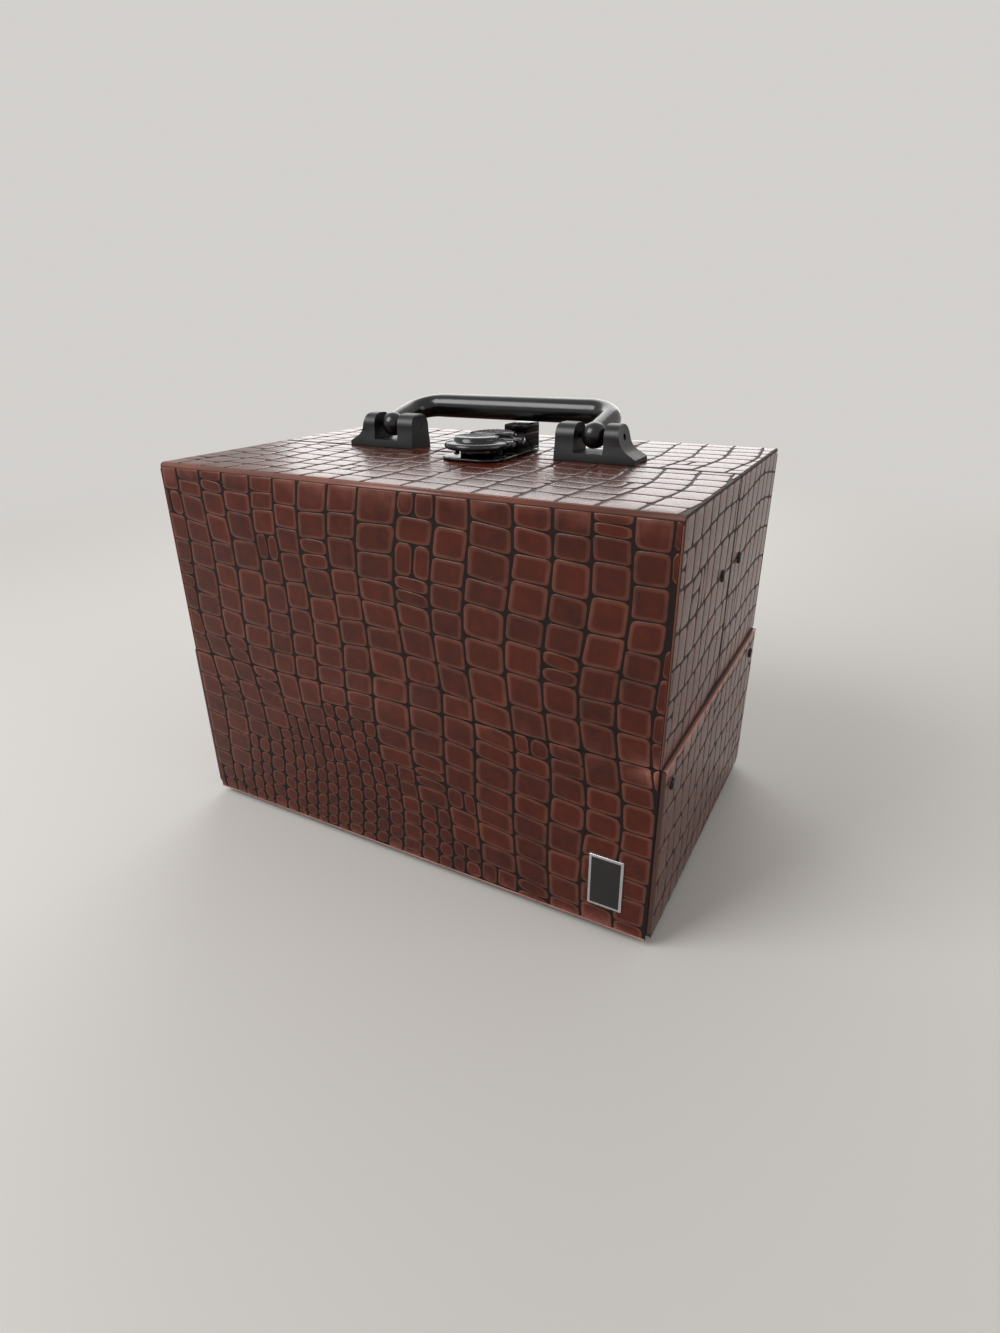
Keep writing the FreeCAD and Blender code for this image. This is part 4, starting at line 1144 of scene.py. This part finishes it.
    def fold(self, side: Side, lid_body: str) -> None:
        """Plain strip of covering across the crease.

        Args:
            side: Half of the case.
            lid_body: Body that the lid belongs to.
        """
        s = self.sizes
        rows = [s.crease - self.fold_half + 2 * self.fold_half * k / self.fold_steps
                for k in range(self.fold_steps + 1)]
        points: list[Point3] = []
        faces: list[list[int]] = []
        y = side.value * s.depth / 2
        reach = s.width / 2 - 0.3
        for depth in self.fold_faces:
            for z in rows:
                for x in (-reach, reach):
                    points.append((x * MM, (y - side.value * depth) * MM, z * MM))
        count = len(rows)
        for layer in (0, 1):
            for k in range(count - 1):
                a = 2 * (layer * count + k)
                faces.append([a, a + 1, a + 3, a + 2])
        ring = [2 * k for k in range(count)] + [2 * k + 1 for k in reversed(range(count))]
        shift = 2 * count
        for a, b in zip(ring, ring[1:] + ring[:1]):
            faces.append([a, b, b + shift, a + shift])
        name = f"{side.name.lower()}_fold_strip"
        piece = mesh_piece(name, points, faces, smooth=False)
        close_normals(piece)
        piece.data.materials.append(self.material)
        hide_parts(f"{side.name.lower()}_hinge_strip")
        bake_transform(piece)
        LOG.info("%s bends between base and %s", name, lid_body)

    def build(self) -> None:
        """Make every sheet."""
        tree = scale_tree()
        base = Covering("base_covering", "base", (
            "front_base_cover", "rear_base_cover", "base_end_cover_left", "base_end_cover_right"))
        for side in Side:
            word = side.name.lower()
            lid = Covering(f"{word}_lid_covering", f"{word}_lid", (
                f"{word}_lid_cover", f"{word}_lid_end_cover_left", f"{word}_lid_end_cover_right"))
            self.half(side, base, lid)
            self.ends(side, lid)
            lid.build(tree, self.material, self.sizes.rise)
            self.fold(side, f"{word}_lid")
        self.base_ends(base)
        base.build(tree, self.material, self.sizes.rise)


@dataclass
class BadgePlate:
    """Small bare plate on the lower right of the front, with a bright frame."""

    x: Point2 = (98.5, 113.8)
    z: Point2 = (15.0, 41.0)
    border: float = 1.1
    rounding: float = 0.35
    rim_depth: Point2 = (-0.4, 0.9)  # back and face, in front of the case
    inner_depth: Point2 = (0.3, 1.05)

    def slab(self, name: str, inset: float, back: float, face: float) -> bpy.types.Object:
        """Rounded slab between two depths in front of the case.

        Args:
            name: Name of the piece.
            inset: Distance inside the outline.
            back: Depth of the back, in front of the case.
            face: Depth of the face, in front of the case.

        Returns:
            The slab.
        """
        front = -SIZES.depth / 2
        return rounded_block(name, (self.x[0] + inset, front - face, self.z[0] + inset),
                             (self.x[1] - inset, front - back, self.z[1] - inset), self.rounding)

    def build(self, black: bpy.types.Material, bright: bpy.types.Material) -> None:
        """Make the frame and the bare field inside it.

        Args:
            black: Material of the field.
            bright: Material of the frame.
        """
        finish_piece(self.slab("badge_frame", 0.0, *self.rim_depth), bright, "base")
        finish_piece(self.slab("badge_field", self.border, *self.inner_depth), black, "base")


def welded(node: str, name: str) -> bpy.types.Object:
    """Copy a solid's mesh, with its split corners joined and flat faces whole.

    Args:
        node: Name of the solid.
        name: Name of the new piece.

    Returns:
        The new piece.
    """
    solid = frame["nodes"][node]
    shape = bmesh.new()
    shape.from_mesh(solid.data)
    bmesh.ops.transform(shape, matrix=solid.matrix_world, verts=shape.verts)
    bmesh.ops.remove_doubles(shape, verts=shape.verts, dist=2e-6)
    bmesh.ops.dissolve_limit(shape, angle_limit=math.radians(0.6), verts=shape.verts, edges=shape.edges)
    return shape_piece(name, shape)


@dataclass
class Handle:
    """Bail with ball ends, swept in one smooth run."""

    half: float = 56.0
    reach: float = 29.6
    bend: float = 13.0
    arm: float = 5.4
    grip: float = 6.0
    hub: float = 6.0
    lean: float = 14.0
    pivot: Point2 = (9.2, 194.8)
    around: int = 28  # steps round the bail
    arm_steps: int = 6  # steps along each arm
    bend_steps: int = 12  # steps round each bend and along each half of the grip
    ball_steps: int = 14  # steps across a ball end

    def spine(self) -> list[tuple[Point2, float]]:
        """Centreline of the right half, from the hub to the middle, with its radius.

        Returns:
            Place and radius of each station.
        """
        run: list[tuple[Point2, float]] = []
        steps = self.bend_steps
        for k in range(self.arm_steps + 1):
            t = k / self.arm_steps * (self.reach - self.bend)
            run.append(((self.half, t), self.arm))
        for k in range(1, steps + 1):
            a = k / steps * math.pi / 2
            place = (self.half - self.bend + self.bend * math.cos(a),
                     self.reach - self.bend + self.bend * math.sin(a))
            run.append((place, self.arm + (self.grip - self.arm) * (k / steps) ** 2))
        for k in range(1, steps + 1):
            run.append((((self.half - self.bend) * (1 - k / steps), self.reach), self.grip))
        return run

    def build(self, material: bpy.types.Material) -> None:
        """Sweep the bail, add its ball ends and hang it on its body.

        Args:
            material: Material of the piece.
        """
        right = self.spine()
        left = [((-x, y), r) for (x, y), r in reversed(right[:-1])]
        run = right + left
        points: list[Point3] = []
        faces: list[list[int]] = []
        lean = math.radians(self.lean)
        for k, ((x, y), radius) in enumerate(run):
            (x0, y0), _ = run[max(k - 1, 0)]
            (x1, y1), _ = run[min(k + 1, len(run) - 1)]
            length = math.hypot(x1 - x0, y1 - y0)
            side = ((y1 - y0) / length, -(x1 - x0) / length)
            for j in range(self.around):
                a = 2 * math.pi * j / self.around
                flat = radius * math.cos(a)
                points.append(self.stood(x + side[0] * flat, y + side[1] * flat,
                                         radius * math.sin(a), lean))
        n = self.around
        for k in range(len(run) - 1):
            for j in range(n):
                i = (j + 1) % n
                faces.append([k * n + j, k * n + i, k * n + n + i, k * n + n + j])
        for sign in (1.0, -1.0):
            self.ball(points, faces, sign * self.half, lean)
        piece = mesh_piece("handle_bail", points, faces)
        close_normals(piece)
        finish_piece(piece, material, "handle", ("handle",))

    def stood(self, x: float, y: float, z: float, lean: float) -> Point3:
        """Turn a point of the flat bail back to where it lies."""
        return (x * MM, (self.pivot[0] + y * math.cos(lean) - z * math.sin(lean)) * MM,
                (self.pivot[1] + y * math.sin(lean) + z * math.cos(lean)) * MM)

    def ball(self, points: list[Point3], faces: list[list[int]], x: float, lean: float) -> None:
        """Add a ball end.

        Args:
            points: Points that the ball is added to.
            faces: Faces that the ball is added to.
            x: X of the ball's centre.
            lean: Angle of the bail, in radians.
        """
        rows, n, first = self.ball_steps, self.around, len(points)
        for k in range(rows + 1):
            b = math.pi * k / rows
            ring = self.hub * math.sin(b)
            for j in range(n):
                a = 2 * math.pi * j / n
                points.append(self.stood(x + self.hub * math.cos(b), ring * math.cos(a),
                                         ring * math.sin(a), lean))
        for k in range(rows):
            for j in range(n):
                i = (j + 1) % n
                a = first + k * n
                faces.append([a + j, a + i, a + n + i, a + n + j])


def rivet_tree() -> bpy.types.NodeTree:
    """Geometry Nodes that set a low dome on every point of a mesh.

    Returns:
        The tree, with inputs for the radius and the material.
    """
    tree, start = open_tree("rivet_domes", {
        "Places": "Geometry", "Radius": "Float", "Finish": "Material"})
    dome = add_node(tree, "GeometryNodeMeshUVSphere", inputs={
        "Segments": 16, "Rings": 10, "Radius": start["Radius"]})
    low = add_node(tree, "GeometryNodeTransform", inputs={
        "Geometry": dome.outputs["Mesh"], "Scale": (1.0, 1.0, 0.6)})
    set_out = add_node(tree, "GeometryNodeInstanceOnPoints", inputs={
        "Points": start["Places"], "Instance": low.outputs["Geometry"]})
    return close_tree(tree, set_out.outputs["Instances"], start["Finish"])


@dataclass
class Hardware:
    """Brackets, latch pieces and the small rivets of the latch."""

    middle: float = 6.0  # latch, to the right of the case's middle
    spread: float = 12.6
    plate_top: float = 185.6
    rivet: float = 1.5
    brackets: tuple[str, ...] = ("handle_bracket_left", "handle_bracket_right")
    half: float = 15.5  # latch plates and paddle
    pedestal: float = 8.5
    tip: float = 26.0  # front end of the paddle
    root: float = 2.0  # rear end of the paddle, behind its pin
    lug_front: float = 7.9  # where the paddle is slotted for the lugs
    plate_front: float = 23.0
    plate_rear: float = 28.0
    split: float = 0.6
    catch_reach: float = 20.0
    block: tuple[float, float, float, float] = (5.5, 26.0, 44.8, 11.6)  # half width, Y, Y, height
    paddle: tuple[Point2, ...] = (
        (1.0, 5.0), (0.25, 5.5), (0.0, 6.4), (0.3, 7.3), (1.1, 7.95), (3.6, 8.1), (4.4, 8.35),
        (4.6, 9.4), (5.1, 10.2), (6.2, 10.55), (8.6, 10.65))  # inset and height of each ring
    plate: tuple[Point2, ...] = ((0.0, 0.0), (0.0, 1.1), (0.15, 1.4), (0.6, 1.6))
    wing: tuple[Point2, ...] = ((0.3, 5.0), (0.0, 5.8), (0.0, 7.2), (0.8, 7.95))
    bridge: tuple[Point2, ...] = ((0.0, 5.0), (0.0, 10.2), (0.4, 10.65))
    plate_corner: float = 9.0
    stand_inset: float = 4.5  # stands, inside the ends above them
    stand_root: float = 9.0
    lug: tuple[float, float, float, float] = (7.25, 1.25, -7.0, -2.4)  # X, half width, Y, Y
    bridge_half: float = 5.6
    wing_start: float = 8.9
    bracket_round: float = 0.7
    rivet_rows: tuple[tuple[str, float], ...] = (("front", -9.0), ("rear", 24.0))

    def stack(self, shape: bmesh.types.BMesh, outline: Callable[[float], list[Point2]],
              tiers: Sequence[tuple[float, float]]) -> None:
        """Add a closed stack of outlines to a mesh.

        Args:
            shape: Mesh that gets the stack.
            outline: Outline for a given inset.
            tiers: Inset and height above the lids of each ring.
        """
        rings = []
        for inset, rise in tiers:
            rings.append([shape.verts.new(((self.middle + x) * MM, y * MM, (SIZES.top + rise) * MM))
                          for x, y in outline(inset)])
        for low, high in zip(rings, rings[1:]):
            for k in range(len(low)):
                n = (k + 1) % len(low)
                shape.faces.new((low[k], low[n], high[n], high[k]))
        shape.faces.new(rings[0][::-1])
        shape.faces.new(rings[-1])

    def tongue(self, half: float, tip: float, root: float) -> Callable[[float], list[Point2]]:
        """Outline with a round tip and a straight root, by inset.

        Args:
            half: Half width.
            tip: Y of the round tip.
            root: Y of the straight root.

        Returns:
            The outline as a function of the inset.
        """
        way = math.copysign(1.0, tip)
        centre = tip - way * half

        def outline(inset: float) -> list[Point2]:
            """Points of the outline at an inset."""
            w = half - inset
            turn = [math.pi * k / 31 for k in range(32)]
            tip_arc = [(w * math.cos(a), centre + way * w * math.sin(a)) for a in turn]
            return [(w, root)] + tip_arc + [(-w, root)]

        return outline

    def slab(self, half: float, end: float, root: float, corner: float) -> Callable[[float], list[Point2]]:
        """Outline of a plate with two rounded corners at its end, by inset.

        Args:
            half: Half width.
            end: Y of the rounded end.
            root: Y of the straight root.
            corner: Radius of the corners.

        Returns:
            The outline as a function of the inset.
        """
        way = math.copysign(1.0, end)

        def outline(inset: float) -> list[Point2]:
            """Points of the outline at an inset.

            Args:
                inset: Distance inside the outline.

            Returns:
                Points in order.
            """
            w, far = half - inset, end - way * inset
            arc = [math.pi / 2 * k / 8 for k in range(9)]
            right = [(w - corner * (1.0 - math.cos(a)), far - way * corner * (1.0 - math.sin(a)))
                     for a in arc]
            return [(w, root)] + right + [(-x, y) for x, y in reversed(right)] + [(-w, root)]

        return outline

    def box(self, low: Point2, high: Point2) -> Callable[[float], list[Point2]]:
        """Outline of a plain rectangle, by inset."""
        return lambda inset: [(low[0] + inset, low[1] + inset), (high[0] - inset, low[1] + inset),
                              (high[0] - inset, high[1] - inset), (low[0] + inset, high[1] - inset)]

    def done(self, shape: bmesh.types.BMesh, name: str) -> bpy.types.Object:
        """Turn a stacked mesh into a smooth piece.

        Args:
            shape: Mesh to finish, freed here.
            name: Name of the piece.

        Returns:
            The linked piece.
        """
        piece = shape_piece(name, shape)
        weights = piece.modifiers.new("weights", "WEIGHTED_NORMAL")
        weights.keep_sharp = False
        settle(piece)
        return piece

    def front_plate(self) -> bpy.types.Object:
        """Plate of the front lid with the stand under the paddle and the hinge lugs.

        Returns:
            The moulding.
        """
        shape = bmesh.new()
        self.stack(shape, self.slab(self.half, -self.plate_front, -self.split, self.plate_corner), self.plate)
        stand = self.tongue(self.pedestal, self.stand_inset - self.plate_front, -self.stand_root)
        self.stack(shape, stand, ((0.0, 1.0), (0.0, 4.0), (0.5, 4.7)))
        out, wide, near, far = self.lug
        for x in (-out, out):
            lug = self.box((x - wide, near), (x + wide, far))
            self.stack(shape, lug, ((0.0, 1.0), (0.0, 7.0), (0.4, 7.5)))
        return self.done(shape, "latch_plate_moulding")

    def lever(self) -> bpy.types.Object:
        """Two tier oval paddle.

        Returns:
            The moulding.
        """
        shape = bmesh.new()
        self.stack(shape, self.tongue(self.half, -self.tip, -self.lug_front), self.paddle)
        near = -self.lug_front - 1.0
        for low, high, tiers in (
                (-self.bridge_half, self.bridge_half, self.bridge),
                (self.wing_start, self.half, self.wing), (-self.half, -self.wing_start, self.wing)):
            self.stack(shape, self.box((low, near), (high, -self.root)), tiers)
        return self.done(shape, "latch_lever_moulding")

    def catch(self) -> bpy.types.Object:
        """Catch of the rear lid: plate, the paddle's other half and the block under the grip.

        Returns:
            The moulding.
        """
        shape = bmesh.new()
        self.stack(shape, self.slab(self.half, self.plate_rear, self.split, self.plate_corner), self.plate)
        stand = self.tongue(self.pedestal, self.catch_reach - self.stand_inset, self.split)
        self.stack(shape, stand, ((0.0, 1.0), (0.0, 5.2)))
        self.stack(shape, self.tongue(self.half, self.catch_reach, self.split), self.paddle)
        w, near, far, rise = self.block
        rest = self.slab(w, far, near - 14.0, 2.0)
        self.stack(shape, rest, ((0.0, 0.0), (0.0, 7.0), (0.3, 8.0)))
        rest = self.slab(w, far, near, 2.0)
        self.stack(shape, rest, ((0.0, 7.0), (0.0, rise - 0.7), (0.3, rise - 0.2), (0.9, rise)))
        return self.done(shape, "latch_catch_moulding")

    def build(self, plastic: bpy.types.Material, satin: bpy.types.Material,
              steel: bpy.types.Material) -> None:
        """Round the moulded pieces and set the rivets.

        Args:
            plastic: Material of the latch.
            satin: Material of the brackets.
            steel: Material of the rivets.
        """
        for node in self.brackets:
            piece = welded(node, f"{node}_moulding")
            soften(piece, self.bracket_round)
            finish_piece(piece, satin, "rear_lid", (node,))
        finish_piece(self.front_plate(), plastic, "front_lid", ("latch_plate",))
        finish_piece(self.lever(), plastic, "latch_lever", ("latch_lever",))
        finish_piece(self.catch(), plastic, "rear_lid", ("latch_catch",))
        tree = rivet_tree()
        for word, y in self.rivet_rows:
            places = [((self.middle + side * self.spread) * MM, y * MM, self.plate_top * MM)
                      for side in (-1.0, 1.0)]
            piece = mesh_piece(f"{word}_latch_rivets", places, [])
            run_tree(piece, tree, {"Radius": self.rivet * MM, "Finish": steel})
            finish_piece(piece, steel, f"{word}_lid")


@dataclass
class FoldedEdges:
    """Turned edges of the covering: base end tops, lower edges and upright corners."""

    sizes: CaseSizes
    rounding: float = 0.33
    proud: float = 0.1  # over the base ends
    end_edge: Point2 = (0.95, 0.1)  # bottom and top of the base end tops, below the crease
    hem: float = 0.7  # height of the lower edges
    hem_proud: float = 0.15
    corner: float = 0.5  # width of a lid corner on each side
    corner_proud: float = 0.05
    end_wall: float = 0.6  # base end tops, inside the covering
    hem_inset: float = 0.3  # lower edges, inside the ends of the case
    base_corner_x: Point2 = (0.05, 0.1)  # off the lid's end and off the base end's face
    base_corner_y: Point2 = (0.9, 0.2)  # inside and outside the end sheet's edge
    base_corner_top: float = 0.9  # below the crease
    lid_corner_foot: float = 0.6  # above the crease

    def bar(self, name: str, spans: Sequence[Point2], material: bpy.types.Material, body: str) -> None:
        """Rounded bar, dressed and hung on its body.

        Args:
            name: Name of the piece.
            spans: Two ends along X, Y and Z, in any order.
            material: Material of the piece.
            body: Body that it rides on.
        """
        low = tuple(min(span) for span in spans)
        high = tuple(max(span) for span in spans)
        finish_piece(rounded_block(name, low, high, self.rounding), material, body)

    def build(self, rubbed_and_highlighted: bpy.types.Material, smooth: bpy.types.Material,
              dark: bpy.types.Material) -> None:
        """Make the edges on the base and the upright corners.

        Args:
            rubbed_and_highlighted: Material of the scuffed lower edges and of the base end tops, whose pale
                line is a painted highlight.
            smooth: Material of the lids' corners.
            dark: Material of the base's corners.
        """
        s = self.sizes
        hands = (("right", 1.0), ("left", -1.0))
        wall = s.proud - s.cover - self.end_wall
        top = (s.crease - self.end_edge[0], s.crease - self.end_edge[1])
        # base end tops: pale bars that are a painted highlight
        for hand, way in hands:
            self.bar(f"base_end_edge_{hand}", ((way * wall, way * (s.proud + self.proud)),
                                               (-s.end_depth, s.end_depth), top), rubbed_and_highlighted, "base")
        end, face = s.width / 2, s.depth / 2
        for side in Side:
            word, sign = side.name.lower(), float(side.value)
            self.bar(f"{word}_lower_edge", (
                (self.hem_inset - end, end - self.hem_inset),
                (sign * (face - s.cover), sign * (face + self.hem_proud)),
                (s.foot, s.foot + self.hem)), rubbed_and_highlighted, "base")
            for hand, way in reversed(hands):
                self.bar(f"base_{word}_{hand}_corner", (
                    (way * (end + self.base_corner_x[0]), way * (s.proud - self.base_corner_x[1])),
                    (sign * (s.end_depth - self.base_corner_y[0]),
                     sign * (s.end_depth + self.base_corner_y[1])),
                    (s.foot + s.end_corner, s.crease - self.base_corner_top)), dark, "base")
                self.bar(f"{word}_lid_{hand}_corner", (
                    (way * (end - self.corner), way * (end + self.corner_proud)),
                    (sign * (face - self.corner), sign * (face + self.corner_proud)),
                    (s.crease + self.lid_corner_foot, s.top - s.edge_round)), smooth, f"{word}_lid")


def dress_solids() -> dict[str, bpy.types.Material]:
    """Give every solid that stays visible its own material.

    Returns:
        The materials, by slot of the record.
    """
    finishes = {
        "board": LINING.material(), "tray_plastic": TRAY_BLACK.material(),
        "gloss_black": GLOSS_BLACK.material(), "steel_strap": ARM_STEEL.material(),
        "black_steel": RIVET_STEEL.material(), "foot_rubber": FOOT_RUBBER.material(),
    }
    for part in frame["record"]["subparts"]:
        material = finishes.get(part["material_slot"])
        if material is None:
            continue
        solid = frame["nodes"][part["node"]]
        solid.data.materials.clear()
        solid.data.materials.append(material)
    return finishes


@dataclass
class Studio:
    """Pale floor, soft lamps and the camera of the photograph."""

    eye: Point3 = (185.7, -316.1, 238.6)
    forward: Point3 = (-0.44041, 0.79574, -0.41574)
    up: Point3 = (-0.19206, 0.36884, 0.90943)
    lens: float = 19.87
    paper: str = "#e9e6e2"
    ground: str = "#d9d6d2"
    fade: Point2 = (0.35, 1.1)  # where the floor runs out, in metres from the case
    ground_half: float = 6.0
    fill: float = 0.45  # light of the world on the case
    backdrop: float = 0.8  # the world as it is seen and reflected

    def camera(self) -> None:
        """Place the camera."""
        data = bpy.data.cameras.new("photo_camera")
        data.lens = self.lens
        data.sensor_width = 36.0
        data.clip_start = 0.01
        ahead = Vector(self.forward).normalized()
        right = ahead.cross(Vector(self.up)).normalized()
        above = right.cross(ahead)
        turn = Matrix((right, above, -ahead)).transposed().to_4x4()
        eye = bpy.data.objects.new("photo_camera", data)
        eye.matrix_world = Matrix.Translation(Vector(self.eye) * MM) @ turn
        bpy.context.scene.collection.objects.link(eye)
        bpy.context.scene.camera = eye

    def lamp(self, name: str, place: Point3, aim: Point3, size: float, power: float) -> None:
        """Add a square soft lamp.

        Args:
            name: Name of the lamp.
            place: Position in metres.
            aim: Point that it faces.
            size: Edge length in metres.
            power: Power in watts.
        """
        data = bpy.data.lights.new(name, "AREA")
        data.size = size
        data.energy = power
        lamp = bpy.data.objects.new(name, data)
        lamp.location = place
        lamp.rotation_euler = (Vector(aim) - Vector(place)).to_track_quat("-Z", "Y").to_euler()
        bpy.context.scene.collection.objects.link(lamp)

    def shown(self, tree: bpy.types.NodeTree) -> bpy.types.NodeSocket:
        """One for a ray that is seen, mirrored or seen through, and zero for light.

        Args:
            tree: Tree that gets the nodes.

        Returns:
            The output with that value.
        """
        path = add_node(tree, "ShaderNodeLightPath").outputs
        total = path["Is Camera Ray"]
        for ray in ("Is Glossy Ray", "Is Transmission Ray"):
            total = add_node(tree, "ShaderNodeMath", {"operation": "ADD", "use_clamp": True}, {
                0: total, 1: path[ray]}).outputs[0]
        return total

    def floor(self) -> None:
        """Add the pale floor, which runs out into the colour of the backdrop."""
        h = self.ground_half
        plane = mesh_piece("studio_floor", [(-h, -h, 0), (h, -h, 0), (h, h, 0), (-h, h, 0)],
                           [[0, 1, 2, 3]])
        made, tree, shader = fresh_material("pale_floor")
        shader.inputs["Base Color"].default_value = linear(self.ground)
        shader.inputs["Roughness"].default_value = 0.7
        place = add_node(tree, "ShaderNodeTexCoord")
        away = add_node(tree, "ShaderNodeVectorMath", {"operation": "LENGTH"}, {
            0: place.outputs["Object"]})
        far = add_node(tree, "ShaderNodeMapRange", {"interpolation_type": "SMOOTHSTEP"}, {
            "Value": away.outputs["Value"], "From Min": self.fade[0], "From Max": self.fade[1]})
        part = add_node(tree, "ShaderNodeMath", {"operation": "MULTIPLY"}, {
            0: far.outputs["Result"], 1: self.shown(tree)})
        glow = add_node(tree, "ShaderNodeEmission", inputs={
            "Color": linear(self.paper), "Strength": self.backdrop})
        mixed = add_node(tree, "ShaderNodeMixShader", inputs={
            0: part.outputs[0], 1: shader.outputs[0], 2: glow.outputs[0]})
        tree.links.new(mixed.outputs[0], tree.nodes["Material Output"].inputs["Surface"])
        plane.data.materials.append(made)
        plane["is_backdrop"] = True

    def build(self) -> None:
        """Set up the studio."""
        self.camera()
        self.floor()
        world = bpy.data.worlds.new("studio")
        bpy.context.scene.world = world
        world.use_nodes = True
        tree = world.node_tree
        sky = tree.nodes["Background"]
        sky.inputs["Color"].default_value = linear(self.paper)
        level = add_node(tree, "ShaderNodeMapRange", inputs={
            "Value": self.shown(tree), "To Min": self.fill, "To Max": self.backdrop})
        tree.links.new(level.outputs["Result"], sky.inputs["Strength"])
        self.lamp("key", (-0.55, -0.75, 0.95), (0.0, 0.0, 0.1), 0.7, 9.5)
        self.lamp("back", (-0.45, 1.0, 0.66), (0.0, 0.0, 0.15), 1.1, 7.0)
        self.lamp("right", (1.0, 0.1, 0.5), (0.0, 0.0, 0.1), 0.6, 1.6)
        bpy.context.scene.view_settings.view_transform = "Standard"


def main() -> None:
    """Build every piece of the case in order."""
    logging.basicConfig(level=logging.INFO, format="%(name)s: %(message)s")
    Studio().build()
    finishes = dress_solids()
    gloss = finishes["gloss_black"]
    smooth = TOP_EDGE.material()
    Coverings(SIZES, PVC.material(), smooth).build()
    Handle().build(gloss)
    satin = SATIN_BLACK.material()
    Hardware().build(gloss, satin, finishes["black_steel"])
    FoldedEdges(SIZES).build(FOLDED_EDGE.material(), smooth, CORNER_EDGE.material())
    BadgePlate().build(satin, BRIGHT_STEEL.material())
    boxes = {"cad": CAD_BOX, "visual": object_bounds()}
    {k: [[float(c) for c in corner] for corner in v] for k, v in boxes.items()}


if __name__ == "__main__":
    main()
